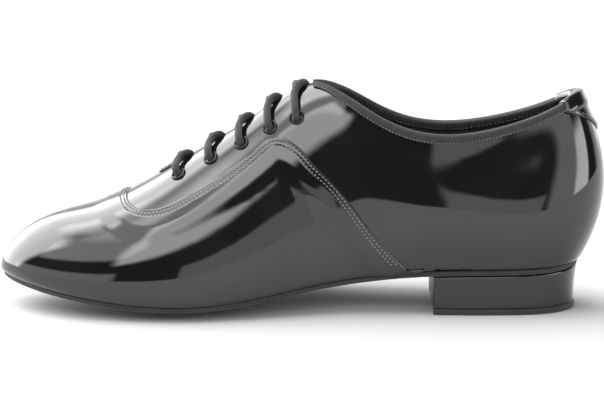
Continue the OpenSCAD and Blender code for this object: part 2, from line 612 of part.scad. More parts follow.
screw_u = 9.75;
screw_low = 7;
module screw_hole() {
    translate([middle(screw_u, 0)[0], 0, screw_low - 0.2]) cylinder(d = screw_d + 2 * fit_gap, h = seat_h + 10);
}
module heel_screw() {
    top = middle(screw_u, board_z + board_t)[2];
    color("#8d8f93") translate([middle(screw_u, 0)[0], 0, screw_low]) cylinder(d = screw_d, h = top - screw_low - 0.1);
}

vamp();
quarter_medial();
quarter_lateral();
vamp_lining();
quarter_lining();
toe_puff();
heel_counter();
facing_stay_medial();
facing_stay_lateral();
heel_grip();
topline_binding();
heel_tab();
tongue();
tongue_lining();
eyelets_medial();
eyelets_lateral();
lace();
aglets();
insole_board();
sock_lining();
heel_pad();
ball_filler();
shank();
shank_rivets();
outsole();
heel_block();
heel_cover();
heel_top_piece();
heel_nails();
heel_screw();
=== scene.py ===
import bpy
import math
import numpy as np
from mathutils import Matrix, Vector


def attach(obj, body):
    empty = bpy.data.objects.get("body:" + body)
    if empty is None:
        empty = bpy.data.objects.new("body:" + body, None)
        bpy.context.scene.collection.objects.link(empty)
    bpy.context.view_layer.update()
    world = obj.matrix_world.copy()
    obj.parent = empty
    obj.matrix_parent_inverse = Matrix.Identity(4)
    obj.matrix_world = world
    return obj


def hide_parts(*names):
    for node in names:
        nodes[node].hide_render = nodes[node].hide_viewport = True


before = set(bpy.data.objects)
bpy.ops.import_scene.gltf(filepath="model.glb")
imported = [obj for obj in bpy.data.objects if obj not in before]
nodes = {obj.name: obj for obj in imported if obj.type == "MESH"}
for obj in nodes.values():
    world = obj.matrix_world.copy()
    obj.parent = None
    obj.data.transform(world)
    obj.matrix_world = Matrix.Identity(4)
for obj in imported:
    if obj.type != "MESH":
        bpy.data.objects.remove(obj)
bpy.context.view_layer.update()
mm = 0.001
inner, outer = -1.0, 1.0


def report(text):
    print("[shoe]", text)


# the last
# one row per station from toe tip to heel: x, inner edge y, outer edge y, toe rise, seat rise,
# top x, inner top y, outer top y, top height, side bulge, lower handle, upper handle out,
# upper handle down, hollow across the bottom
last = {
    "stations": [
        [-2, -6, -6, 1.00, 0.00, -2, -6, -6, 0, 0, 0, 0, 0, 0.0],
        [6, -21, 8, 0.86, 0.00, 6, -6, -6, 18, 4, 9, 9, 0, 0.6],
        [26, -35, 21, 0.58, 0.00, 26, -6, -6, 32.5, 5, 14, 17, 0, 1.8],
        [55, -43, 33, 0.23, 0.00, 55, -5, -5, 45, 6, 20, 24, 0, 3.8],
        [90, -44, 43, 0.02, 0.02, 88, -4, -4, 65, 5, 28, 24, 0, 4.8],
        [122, -37, 43, 0.00, 0.21, 119, -4, -4, 81.5, 5, 34, 21, 0, 3.6],
        [148, -30, 38, 0.00, 0.50, 145, -5, -3, 93, 5, 34, 17, 4, 2.0],
        [170, -27, 35, 0.00, 0.72, 166, -18, 15, 83.5, 6, 32, 6, 16, 1.0],
        [196, -27, 32, 0.00, 0.90, 190, -25, 22, 68, 8, 30, 2, 24, 0.4],
        [225, -27, 29, 0.00, 0.97, 220, -25, 22, 64, 9, 30, 2, 24, 0.2],
        [255, -24, 25, 0.00, 1.00, 252, -18, 17, 71, 11, 30, 4, 22, 0.0],
        [272, -13, 13, 0.00, 1.08, 269, -10, 10, 77.5, 16, 30, 10, 20, 0.0],
        [276, 0, 0, 0.00, 1.12, 274, 0, 0, 79, 18, 30, 12, 20, 0.0]],
    "oddAtToe": [1, 2, 8, 9, 10, 11, 12, 13],
    "oddAtHeel": [1, 2, 6, 7],
    "treadHeight": 6.0, "seatHeight": 22.0, "toeHeight": 17.0,
    "centreX": 142.23, "centreY": -0.5,
}
rows = np.array(last["stations"], float)
heelU = len(rows) - 1


def splineBends(oddAtToe, oddAtHeel):
    # second derivatives of the smooth curve through each column
    n = len(rows)
    a = np.zeros((n, n))
    b = np.zeros(n)
    for i in range(1, n - 1):
        a[i, i - 1:i + 2] = [1, 4, 1]
    bends = np.zeros_like(rows)
    for k in range(rows.shape[1]):
        y = rows[:, k]
        m = a.copy()
        b[1:-1] = 6 * (y[:-2] - 2 * y[1:-1] + y[2:])
        m[0, 0], m[0, 1], b[0] = (1, 0, 0) if k in oddAtToe else (2, 1, 6 * (y[1] - y[0]))
        m[-1, -1], m[-1, -2], b[-1] = (1, 0, 0) if k in oddAtHeel else (2, 1, 6 * (y[-2] - y[-1]))
        bends[:, k] = np.linalg.solve(m, b)
    return bends


bends = splineBends(last["oddAtToe"], last["oddAtHeel"])


def station(u):
    i = np.clip(np.floor(u).astype(int), 0, heelU - 1)
    t = (u - i)[..., None]
    a = 1 - t
    value = a * rows[i] + t * rows[i + 1] + ((a ** 3 - a) * bends[i] + (t ** 3 - t) * bends[i + 1]) / 6
    slope = rows[i + 1] - rows[i] + ((1 - 3 * a * a) * bends[i] + (3 * t * t - 1) * bends[i + 1]) / 6
    return value, slope


def smooth(a, low, high):
    t = np.clip((np.asarray(a, float) - low) / (high - low), 0, 1)
    return t * t * (3 - 2 * t)


def unit(a):
    return a / np.maximum(np.linalg.norm(a, axis=-1, keepdims=True), 1e-9)


def edgeHeight(s):
    rise = last["treadHeight"] + s[..., 3] * (last["toeHeight"] - last["treadHeight"])
    return rise + s[..., 4] * (last["seatHeight"] - last["treadHeight"])


def spread(*values):
    return [np.array(v, float) for v in np.broadcast_arrays(*values)]


def planOut(u, side):
    # straight out of the outline, seen from above
    u, side = spread(u, side)
    d = station(np.clip(u, 0.004, heelU - 0.004))[1]
    dy = np.where(side < 0, d[..., 1], d[..., 2])
    return unit(np.stack([-side * dy, side * d[..., 0], np.zeros_like(u)], -1))


def rib(u, side, v):
    # point of the last's side: v is 0 at the bottom edge, 1 at the crest or topline
    u, side, v = spread(u, side, v)
    s = station(u)[0]
    n = planOut(u, side)
    z = edgeHeight(s)
    edge = np.stack([s[..., 0] - last["centreX"], np.where(side < 0, s[..., 1],
            s[..., 2]) - last["centreY"], z], -1)
    top = np.stack([s[..., 5] - last["centreX"], np.where(side < 0, s[..., 6], s[..., 7]) - last["centreY"],
                    z + s[..., 8]], -1)
    low = edge + n * s[..., 9:10]
    low[..., 2] += s[..., 10]
    lean = smooth(u, 5.4, 6.6)
    high = top + np.stack([n[..., 0] * s[..., 11] * lean, n[..., 1] * s[..., 11], -s[..., 12]], -1)
    v = v[..., None]
    w = 1 - v
    return w ** 3 * edge + 3 * v * w * w * low + 3 * v * v * w * high + v ** 3 * top


def topSpeed(u, side):
    return np.linalg.norm(rib(u, side, 1.0) - rib(u, side, 0.99), axis=-1) * 100


def sideSlope(u, side, v):
    w, t = np.clip(u, 0.03, heelU - 0.011), np.clip(v, 0.01, 0.99)
    du = rib(w + 0.01, side, t) - rib(w - 0.01, side, t)
    dv = rib(w, side, t + 0.01) - rib(w, side, t - 0.01)
    return unit(np.cross(du, dv) * np.where(side < 0, 1.0, -1.0)[..., None])


def sideNormal(u, side, v):
    # the two sides share one normal along the crest and up the back
    u, side, v = spread(u, side, v)
    own = sideSlope(u, side, v)
    shared = unit(own + sideSlope(u, -side, v))
    crest = smooth(v, 0.93, 1.0) * (1 - smooth(u, 5.5, 5.9))
    back = smooth(u, heelU - 0.2, heelU)
    n = unit(own + (shared - own) * np.maximum(crest, back)[..., None])
    return np.where((u <= 0.02)[..., None], np.array([-1.0, 0, 0]), n)


def bottomPoint(u, side, inset, lift):
    u, side, inset, lift = spread(u, side, inset, lift)
    s = station(u)[0]
    half = (s[..., 2] - s[..., 1]) / 2
    inn = np.minimum(inset, half)
    y = np.where(side < 0, s[..., 1] + inn, s[..., 2] - inn)
    d = np.where(half > 0.01, 1 - inn / np.maximum(half, 0.01), 1.0)
    return np.stack([s[..., 0] - last["centreX"], y - last["centreY"], edgeHeight(s) - s[...,
            13] * (1 - d * d) + lift], -1)


def halfWidth(u):
    s = station(np.asarray(u, float))[0]
    return (s[..., 2] - s[..., 1]) / 2


featherRound = 2.6   # how softly the upper turns under at the bottom edge


def featherV(u, side):
    u, side = spread(u, side)
    speed = np.linalg.norm(rib(u, side, 0.02) - rib(u, side, 0.0), axis=-1) / 0.02
    return np.clip(featherRound / np.maximum(speed, 1e-3), 0.02, 0.12)


def skin(u, side, e, depth):
    # a layer of the upper. e from 0 to 1 is v up the side, -1 to 0 turns round the bottom edge,
    # -2 to -1 runs in under the foot; depth is measured inward
    u, side, e, depth = spread(u, side, e, depth)
    v = np.clip(e, 0, 1)
    v0 = featherV(u, side)
    n = sideNormal(u, side, np.where(e < 0, v0, v))
    p = rib(u, side, v)
    turn = e < 0
    if turn.any():
        t = np.clip(e + 1, 0, 1)[..., None]
        half = halfWidth(u)
        r = np.minimum(featherRound, half * 0.3)
        low = bottomPoint(u, side, r, 0)
        bend = (1 - t) ** 2 * low + 2 * t * (1 - t) * rib(u, side, 0.0) + t * t * rib(u, side, v0)
        far = np.minimum(12.0, half * 0.5)
        under = bottomPoint(u, side, r + (far - r) * np.clip(-1 - e, 0, 1), 0)
        p = np.where(turn[..., None], np.where((e < -1)[..., None], under, bend), p)
        down = np.array([0, 0, -1.0])
        n = np.where(turn[..., None], unit((1 - t) * down + t * n), n)
    return p - n * depth[..., None]


# mesh tools
def newPiece(name, points, faces, material, body="shoe", slot=None, stands=()):
    mesh = bpy.data.meshes.new(name)
    mesh.from_pydata([tuple(p) for p in np.asarray(points, float) * mm], [],
            [tuple(int(i) for i in f) for f in faces])
    mesh.validate(verbose=False)
    mesh.update()
    mesh.polygons.foreach_set("use_smooth", [True] * len(mesh.polygons))
    obj = bpy.data.objects.new(name, mesh)
    bpy.context.scene.collection.objects.link(obj)
    obj.data.materials.append(material)
    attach(obj, body)
    if stands:
        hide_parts(*stands)
    return obj


def gridFaces(ni, nj, closeI=False, closeJ=False, start=0, flip=False):
    i, j = np.meshgrid(np.arange(ni if closeI else ni - 1), np.arange(nj if closeJ else nj - 1),
            indexing="ij")
    a = i * nj + j
    b = i * nj + (j + 1) % nj
    c = ((i + 1) % ni) * nj + (j + 1) % nj
    d = ((i + 1) % ni) * nj + j
    f = np.stack([a, d, c, b] if flip else [a, b, c, d], -1).reshape(-1, 4)
    return (f + start).tolist()


def cleanFaces(points, faces):
    # drops repeated corners where rows have met
    key = {}
    same = np.zeros(len(points), int)
    for i, p in enumerate(np.round(points, 4)):
        same[i] = key.setdefault(tuple(p), i)
    out = []
    for f in faces:
        g = []
        for i in f:
            k = same[i]
            if not g or g[-1] != k:
                g.append(k)
        if len(g) > 1 and g[0] == g[-1]:
            g.pop()
        if len(set(g)) == len(g) and len(g) > 2:
            out.append(g)
    used = sorted({i for f in out for i in f})
    new = {k: n for n, k in enumerate(used)}
    return used, [[new[i] for i in f] for f in out]


def borderEdges(faces):
    seen = {}
    for f in faces:
        for k in range(len(f)):
            e = (f[k], f[(k + 1) % len(f)])
            seen[e] = seen.get(e, 0) + 1
    return [e for e in seen if (e[1], e[0]) not in seen]


def closedPanel(outsidePts, insidePts, faces):
    # outer skin, inner skin and the cut edge between them
    used, kept = cleanFaces(outsidePts, faces)
    a, b = outsidePts[used], insidePts[used]
    n = len(used)
    back = [[i + n for i in reversed(f)] for f in kept]
    wall = [[e[1], e[0], e[0] + n, e[1] + n] for e in borderEdges(kept)]
    return np.vstack([a, b]), kept + back + wall, used


def sliceAlong(uc, faces, fieldOf, levels):
    # cuts the faces along lines where the field has the given values, so that edges and grooves
    # follow the seam and not the grid
    uc = [tuple(p) for p in uc]
    field = list(fieldOf(np.array(uc)))
    for level in levels:
        made = {}

        def cutPoint(a, b):
            key = (a, b) if a < b else (b, a)
            if key not in made:
                t = (level - field[a]) / (field[b] - field[a])
                uc.append((uc[a][0] + t * (uc[b][0] - uc[a][0]), uc[a][1] + t * (uc[b][1] - uc[a][1])))
                field.append(level)
                made[key] = len(uc) - 1
            return made[key]

        done = []
        for f in faces:
            values = [field[i] for i in f]
            if min(values) >= level - 1e-4 or max(values) <= level + 1e-4:
                done.append(f)
                continue
            above, below = [], []
            for k in range(len(f)):
                a, b = f[k], f[(k + 1) % len(f)]
                fa, fb = field[a] - level, field[b] - level
                if abs(fa) < 1e-4:
                    above.append(a)
                    below.append(a)
                elif fa > 0:
                    above.append(a)
                else:
                    below.append(a)
                if fa * fb < 0 and abs(fa) >= 1e-4 and abs(fb) >= 1e-4:
                    c = cutPoint(a, b)
                    above.append(c)
                    below.append(c)
            for part in (above, below):
                if len(part) > 2:
                    done.append(part)
        faces = done
    return np.array(uc), faces, np.array(field)


def smoothLine(points, count):
    # smooth curve through the points, evenly spaced
    p = np.asarray(points, float)
    k = np.concatenate([[0], np.cumsum(np.linalg.norm(np.diff(p, axis=0), axis=1) ** 0.5)])
    n = len(p)
    m = np.zeros((n, n))
    r = np.zeros_like(p)
    m[0, 0] = m[-1, -1] = 1
    h = np.diff(k)
    for i in range(1, n - 1):
        m[i, i - 1], m[i, i], m[i, i + 1] = h[i - 1], 2 * (h[i - 1] + h[i]), h[i]
        r[i] = 6 * ((p[i + 1] - p[i]) / h[i] - (p[i] - p[i - 1]) / h[i - 1])
    c = np.linalg.solve(m, r)

    def at(t):
        i = np.clip(np.searchsorted(k, t, side="right") - 1, 0, n - 2)
        hh = h[i][:, None]
        a = (k[i + 1] - t)[:, None] / hh
        b = 1 - a
        return a * p[i] + b * p[i + 1] + ((a ** 3 - a) * c[i] + (b ** 3 - b) * c[i + 1]) * hh * hh / 6

    fine = at(np.linspace(0, k[-1], 8 * n + 200))
    run = np.concatenate([[0], np.cumsum(np.linalg.norm(np.diff(fine, axis=0), axis=1))])
    spots = np.linspace(0, run[-1], count)
    return np.stack([np.interp(spots, run, fine[:, d]) for d in range(p.shape[1])], 1)


def lineLength(p):
    return float(np.linalg.norm(np.diff(p, axis=0), axis=1).sum())


def carriedFrames(path):
    # a pair of directions across the path at each point, with no twist
    d = unit(np.gradient(path, axis=0))
    a = unit(np.cross(d[0], [0.1, 0.2, 1.0]))
    sideways = []
    for t in d:
        a = unit(a - t * np.dot(a, t))
        sideways.append(a)
    sideways = np.array(sideways)
    return d, sideways, np.cross(d, sideways)


def sweptTube(path, radius, around):
    # radius(k, angle) gives the distance from the middle for each ring and angle
    d, a, b = carriedFrames(path)
    angle = np.linspace(0, 2 * math.pi, around, endpoint=False)
    r = radius(np.arange(len(path))[:, None], angle[None, :])
    ring = path[:, None] + r[..., None] * (np.cos(angle)[None, :, None] * a[:, None] + np.sin(angle)[None,
            :, None] * b[:, None])
    points = ring.reshape(-1, 3)
    faces = gridFaces(len(path), around, closeJ=True, flip=True)
    n = len(path) * around
    points = np.vstack([points, path[:1] - d[:1] * 0.2, path[-1:] + d[-1:] * 0.2])
    faces += [[n, (k + 1) % around, k] for k in range(around)]
    faces += [[n + 1, n - around + k, n - around + (k + 1) % around] for k in range(around)]
    return points, [list(reversed(f)) for f in faces]


def stitchRow(path, up, thread, length, gap, rise):
    # one bead of thread per stitch, its ends pulled down into the leather
    points, faces = [], []
    run = np.concatenate([[0], np.cumsum(np.linalg.norm(np.diff(path, axis=0), axis=1))])
    count = int(run[-1] / (length + gap))
    rings, sides = 7, 6
    for k in range(count):
        s0 = (k + 0.5) * (length + gap) - length / 2
        s = s0 + np.linspace(0, length, rings)
        t = np.linspace(-1, 1, rings)
        mid = np.stack([np.interp(s, run, path[:, d]) for d in range(3)], 1)
        n = unit(np.stack([np.interp(s, run, up[:, d]) for d in range(3)], 1))
        along = unit(np.gradient(mid, axis=0))
        across = np.cross(along, n)
        mid = mid + n * (rise * (1 - t ** 4) - 0.35 * thread * t ** 4)[:, None]
        r = thread / 2 * np.sqrt(np.maximum(1 - t ** 6, 0.04))
        base = len(points)
        for i in range(rings):
            for j in range(sides):
                a = 2 * math.pi * j / sides
                points.append(mid[i] + r[i] * (math.cos(a) * across[i] + math.sin(a) * n[i]))
        faces += gridFaces(rings, sides, closeJ=True, start=base)
        faces.append([base + j for j in range(sides)][::-1])
        faces.append([base + (rings - 1) * sides + j for j in range(sides)])
    return points, faces


def joinParts(parts):
    points, faces = [], []
    for p, f in parts:
        base = len(points)
        points.extend(list(p))
        faces.extend([[i + base for i in g] for g in f])
    return np.array(points), faces


# finishes
def tree(name):
    m = bpy.data.materials.new(name)
    m.use_nodes = True
    t = m.node_tree
    return m, t, t.nodes["Principled BSDF"]


def addNode(t, kind, **settings):
    n = t.nodes.new(kind)
    for key, value in settings.items():
        setattr(n, key, value)
    return n


def noiseNode(t, scale, detail=3.0, rough=0.5, stretch=None):
    co = addNode(t, "ShaderNodeTexCoord")
    n = addNode(t, "ShaderNodeTexNoise")
    n.inputs["Scale"].default_value = scale
    n.inputs["Detail"].default_value = detail
    n.inputs["Roughness"].default_value = rough
    if stretch:
        m = addNode(t, "ShaderNodeMapping")
        m.inputs["Scale"].default_value = stretch
        t.links.new(co.outputs["Object"], m.inputs["Vector"])
        t.links.new(m.outputs["Vector"], n.inputs["Vector"])
    else:
        t.links.new(co.outputs["Object"], n.inputs["Vector"])
    return n


def rampNode(t, source, stops):
    r = addNode(t, "ShaderNodeValToRGB")
    e = r.color_ramp.elements
    while len(e) < len(stops):
        e.new(0.5)
    for k, (pos, col) in enumerate(stops):
        e[k].position = pos
        e[k].color = (*col, 1) if len(col) == 3 else col
    t.links.new(source, r.inputs["Fac"])
    return r


def bumpNode(t, height, strength, distance, after=None):
    b = addNode(t, "ShaderNodeBump")
    b.inputs["Strength"].default_value = strength
    b.inputs["Distance"].default_value = distance
    t.links.new(height, b.inputs["Height"])
    if after:
        t.links.new(after.outputs["Normal"], b.inputs["Normal"])
    return b


def valueRange(t, source, low, high):
    m = addNode(t, "ShaderNodeMapRange")
    m.inputs["To Min"].default_value = low
    m.inputs["To Max"].default_value = high
    t.links.new(source, m.inputs["Value"])
    return m.outputs["Result"]


patentLook = {"tint": (0.0045, 0.0045, 0.005), "warm": (0.008, 0.0075, 0.0075), "roughLow": 0.035,
        "roughHigh": 0.075,
              "waves": 0.10, "grain": 0.012, "coat": 0.6}


def patentFinish():
    # black patent: a hard clear film over leather, faintly wavy, with hair lines and a little dust
    m, t, p = tree("patentBlack")
    slow = noiseNode(t, 38, 2.0, 0.45)
    pores = noiseNode(t, 2600, 2.0, 0.6)
    dust = noiseNode(t, 420, 5.0, 0.7)
    tint = rampNode(t, slow.outputs["Fac"], [(0.3, patentLook["tint"]), (0.75, patentLook["warm"])])
    t.links.new(tint.outputs["Color"], p.inputs["Base Color"])
    t.links.new(valueRange(t, dust.outputs["Fac"], patentLook["roughLow"], patentLook["roughHigh"]),
            p.inputs["Roughness"])
    wave = bumpNode(t, slow.outputs["Fac"], patentLook["waves"], 0.002)
    fine = bumpNode(t, pores.outputs["Fac"], patentLook["grain"], 0.0002, wave)
    t.links.new(fine.outputs["Normal"], p.inputs["Normal"])
    p.inputs["IOR"].default_value = 1.52
    p.inputs["Coat Weight"].default_value = patentLook["coat"]
    p.inputs["Coat Roughness"].default_value = 0.02
    p.inputs["Coat IOR"].default_value = 1.5
    return m


def clothFinish(name, tint, warm, rough, threadScale, depth, sheen):
    m, t, p = tree(name)
    co = addNode(t, "ShaderNodeTexCoord")
    w1 = addNode(t, "ShaderNodeTexWave", wave_type="BANDS", bands_direction="X")
    w2 = addNode(t, "ShaderNodeTexWave", wave_type="BANDS", bands_direction="Z")
    for w in (w1, w2):
        w.inputs["Scale"].default_value = threadScale
        w.inputs["Distortion"].default_value = 1.2
        w.inputs["Detail"].default_value = 1.0
        t.links.new(co.outputs["Object"], w.inputs["Vector"])
    cross = addNode(t, "ShaderNodeMath", operation="MULTIPLY")
    t.links.new(w1.outputs["Fac"], cross.inputs[0])
    t.links.new(w2.outputs["Fac"], cross.inputs[1])
    fuzz = noiseNode(t, 900, 4.0, 0.7)
    col = rampNode(t, fuzz.outputs["Fac"], [(0.32, tint), (0.7, warm)])
    t.links.new(col.outputs["Color"], p.inputs["Base Color"])
    b = bumpNode(t, cross.outputs["Value"], depth, 0.0003)
    b2 = bumpNode(t, fuzz.outputs["Fac"], 0.25, 0.0003, b)
    t.links.new(b2.outputs["Normal"], p.inputs["Normal"])
    p.inputs["Roughness"].default_value = rough
    p.inputs["Sheen Weight"].default_value = sheen
    p.inputs["Sheen Roughness"].default_value = 0.4
    return m


def napFinish(name, tint, warm, scale, bumpDepth, sheen):
    m, t, p = tree(name)
    nap = noiseNode(t, scale, 6.0, 0.75)
    patches = noiseNode(t, 60, 3.0, 0.6)
    mix = addNode(t, "ShaderNodeMath", operation="MULTIPLY_ADD")
    mix.inputs[1].default_value = 0.6
    t.links.new(nap.outputs["Fac"], mix.inputs[0])
    half = valueRange(t, patches.outputs["Fac"], 0.0, 0.4)
    t.links.new(half, mix.inputs[2])
    col = rampNode(t, mix.outputs["Value"], [(0.3, tint), (0.75, warm)])
    t.links.new(col.outputs["Color"], p.inputs["Base Color"])
    b = bumpNode(t, nap.outputs["Fac"], bumpDepth, 0.0006)
    t.links.new(b.outputs["Normal"], p.inputs["Normal"])
    p.inputs["Roughness"].default_value = 0.95
    p.inputs["Sheen Weight"].default_value = sheen
    p.inputs["Sheen Roughness"].default_value = 0.5
    return m


def grainFinish(name, tint, warm, rough, scale, depth, metal=0.0):
    m, t, p = tree(name)
    n = noiseNode(t, scale, 5.0, 0.6)
    col = rampNode(t, n.outputs["Fac"], [(0.3, tint), (0.72, warm)])
    t.links.new(col.outputs["Color"], p.inputs["Base Color"])
    t.links.new(valueRange(t, n.outputs["Fac"], rough * 0.8, min(1.0, rough * 1.2)), p.inputs["Roughness"])
    b = bumpNode(t, n.outputs["Fac"], depth, 0.0004)
    t.links.new(b.outputs["Normal"], p.inputs["Normal"])
    p.inputs["Metallic"].default_value = metal
    return m


patent = patentFinish()
tapeCloth = clothFinish("ribbedTape", (0.006, 0.006, 0.007), (0.022, 0.022, 0.024), 0.62, 900, 0.15, 0.12)
cordCloth = clothFinish("braidedCord", (0.006, 0.006, 0.007), (0.06, 0.06, 0.065), 0.8, 1500, 0.5, 0.2)
liningCloth = clothFinish("softLining", (0.010, 0.010, 0.012), (0.024, 0.024, 0.027), 0.75, 500, 0.2, 0.25)
soleNap = napFinish("soleSuede", (0.008, 0.008, 0.009), (0.05, 0.049, 0.05), 700, 0.7, 0.3)
heelNap = napFinish("heelSuede", (0.010, 0.010, 0.011), (0.045, 0.044, 0.045), 900, 0.6, 0.25)
gripNap = napFinish("gripSuede", (0.010, 0.010, 0.011), (0.035, 0.035, 0.036), 1200, 0.5, 0.4)
sockLeather = grainFinish("sockLeather", (0.010, 0.010, 0.011), (0.028, 0.028, 0.03), 0.5, 700, 0.35)
# black waxed thread: a dark random tone, with the light grey end of its ramp a painted highlight that stands
# in for the glints on the stitch beads
threadWithPaintedGlint = grainFinish("waxedThreadPaintedGlint", (0.05, 0.05, 0.053), (0.30, 0.30, 0.31), 0.25, 3000, 0.3)
enamel = grainFinish("blackEnamel", (0.010, 0.010, 0.012), (0.02, 0.02, 0.022), 0.16, 900, 0.05, 0.3)
tipPlastic = grainFinish("tipPlastic", (0.012, 0.012, 0.013), (0.02, 0.02, 0.022), 0.3, 500, 0.1)
fibreBoard = grainFinish("fibreBoard", (0.30, 0.20, 0.11), (0.46, 0.33, 0.2), 0.85, 300, 0.5)
stiffFelt = grainFinish("stiffFelt", (0.50, 0.46, 0.38), (0.66, 0.6, 0.5), 0.9, 400, 0.4)
corkFinish = grainFinish("corkFiller", (0.22, 0.13, 0.06), (0.5, 0.34, 0.19), 0.9, 260, 0.7)
springSteel = grainFinish("springSteel", (0.38, 0.38, 0.40), (0.56, 0.56, 0.58), 0.32, 500, 0.15, 1.0)
heelStack = grainFinish("dyedHeelStack", (0.008, 0.008, 0.008), (0.028, 0.026, 0.025), 0.5, 180, 0.4)
report("finishes made")

# camera, floor and light
view = {"lens": 108.0, "distance": 870.0, "aim": (0.5, 0.0, 50.0), "azimuth": 2.0, "rise": 10.93}
cameraData = bpy.data.cameras.new("studioCamera")
cameraData.lens = view["lens"]
cameraData.sensor_width = 36
cameraData.clip_start = 0.05
cameraData.clip_end = 40
camera = bpy.data.objects.new("studioCamera", cameraData)
bpy.context.scene.collection.objects.link(camera)
az, el = math.radians(view["azimuth"]), math.radians(view["rise"])
away = Vector((math.sin(az) * math.cos(el), -math.cos(az) * math.cos(el), math.sin(el)))
camera.location = (Vector(view["aim"]) + away * view["distance"]) * mm
camera.rotation_mode = "QUATERNION"
camera.rotation_quaternion = (-away).to_track_quat("-Z", "Y")
bpy.context.scene.camera = camera

studio = {"floorTint": (0.50, 0.50, 0.50), "floorSize": 12.0}


def studioFloor():
    m, t, p = tree("paleFloor")
    n = noiseNode(t, 3, 2.0)
    col = rampNode(t, n.outputs["Fac"], [(0.2, studio["floorTint"]), (0.8, (0.54, 0.54, 0.54))])
    t.links.new(col.outputs["Color"], p.inputs["Base Color"])
    p.inputs["Roughness"].default_value = 0.9
    p.inputs["Specular IOR Level"].default_value = 0.1
    h = studio["floorSize"] / 2
    mesh = bpy.data.meshes.new("studioFloor")
    mesh.from_pydata([(-h, -h, -0.0002), (h, -h, -0.0002), (h, h, -0.0002), (-h, h, -0.0002)], [],
            [(0, 1, 2, 3)])
    obj = bpy.data.objects.new("studioFloor", mesh)
    bpy.context.scene.collection.objects.link(obj)
    mesh.materials.append(m)


studioFloor()

# soft boxes painted on the studio's walls: direction they lie in, half widths, softness, strength
studioWalls = {
    "base": 0.06,
    "boxes": [
        {"azimuth": -118, "rise": 28, "halfWide": 0.62, "halfHigh": 0.56, "soft": 0.1, "strength": 7.0},
        {"azimuth": -50, "rise": 46, "halfWide": 0.42, "halfHigh": 0.24, "soft": 0.05, "strength": 2.4},
        {"azimuth": -58, "rise": 6, "halfWide": 0.72, "halfHigh": 0.14, "soft": 0.04, "strength": 1.7},
        {"azimuth": -4, "rise": 36, "halfWide": 0.36, "halfHigh": 0.20, "soft": 0.05, "strength": 5.0},
        {"azimuth": 13, "rise": 3, "halfWide": 0.19, "halfHigh": 0.12, "soft": 0.02, "strength": 1.25},
        {"azimuth": 180, "rise": 22, "halfWide": 1.3, "halfHigh": 0.45, "soft": 0.2, "strength": 1.3},
        {"azimuth": 64, "rise": 9, "halfWide": 0.24, "halfHigh": 0.30, "soft": 0.06, "strength": 6.0},
        {"azimuth": 38, "rise": 14, "halfWide": 0.20, "halfHigh": 0.34, "soft": 0.05, "strength": 1.6},
        {"azimuth": 132, "rise": 4, "halfWide": 0.45, "halfHigh": 0.30, "soft": 0.15, "strength": 1.4},
        {"azimuth": -80, "rise": 76, "halfWide": 0.42, "halfHigh": 0.30, "soft": 0.12, "strength": 9.0},
    ],
}


def studioWorld():
    w = bpy.data.worlds.new("studioWalls")
    w.use_nodes = True
    t = w.node_tree
    t.nodes.clear()
    out = addNode(t, "ShaderNodeOutputWorld")
    co = addNode(t, "ShaderNodeTexCoord")

    def maths(op, a, b=None):
        n = addNode(t, "ShaderNodeMath", operation=op)
        for k, x in enumerate((a, b)):
            if x is None:
                continue
            if isinstance(x, (int, float)):
                n.inputs[k].default_value = x
            else:
                t.links.new(x, n.inputs[k])
        return n.outputs["Value"]

    def dot(direction):
        n = addNode(t, "ShaderNodeVectorMath", operation="DOT_PRODUCT")
        t.links.new(co.outputs["Generated"], n.inputs[0])
        n.inputs[1].default_value = direction
        return n.outputs["Value"]

    def step(x, low, high):
        n = addNode(t, "ShaderNodeMapRange", interpolation_type="SMOOTHSTEP")
        n.inputs["From Min"].default_value = low
        n.inputs["From Max"].default_value = high
        t.links.new(x, n.inputs["Value"])
        return n.outputs["Result"]

    total = None
    for b in studioWalls["boxes"]:
        a, e = math.radians(b["azimuth"]), math.radians(b["rise"])
        to = Vector((math.sin(a) * math.cos(e), -math.cos(a) * math.cos(e), math.sin(e)))
        right = Vector((math.cos(a), math.sin(a), 0))
        up = right.cross(to)
        front = dot(to)
        safe = maths("MAXIMUM", front, 0.02)
        x = maths("ABSOLUTE", maths("DIVIDE", dot(right), safe))
        y = maths("ABSOLUTE", maths("DIVIDE", dot(up), safe))
        soft = b["soft"]
        inX = maths("SUBTRACT", 1.0, step(x, b["halfWide"] - soft, b["halfWide"] + soft))
        inY = maths("SUBTRACT", 1.0, step(y, b["halfHigh"] - soft, b["halfHigh"] + soft))
        lit = maths("MULTIPLY", maths("MULTIPLY", inX, inY), step(front, 0.0, 0.1))
        lit = maths("MULTIPLY", lit, b["strength"])
        total = lit if total is None else maths("ADD", total, lit)
    total = maths("ADD", total, studioWalls["base"])
    studioLight = addNode(t, "ShaderNodeBackground")
    t.links.new(total, studioLight.inputs["Strength"])
    backdrop = addNode(t, "ShaderNodeBackground")
    backdrop.inputs["Color"].default_value = (1, 1, 1, 1)
    backdrop.inputs["Strength"].default_value = 1.0
    path = addNode(t, "ShaderNodeLightPath")
    mix = addNode(t, "ShaderNodeMixShader")
    t.links.new(path.outputs["Is Camera Ray"], mix.inputs["Fac"])
    t.links.new(studioLight.outputs["Background"], mix.inputs[1])
    t.links.new(backdrop.outputs["Background"], mix.inputs[2])
    t.links.new(mix.outputs["Shader"], out.inputs["Surface"])
    bpy.context.scene.world = w


studioWorld()
bpy.context.scene.view_settings.view_transform = "Standard"
report("camera, floor and light ready")

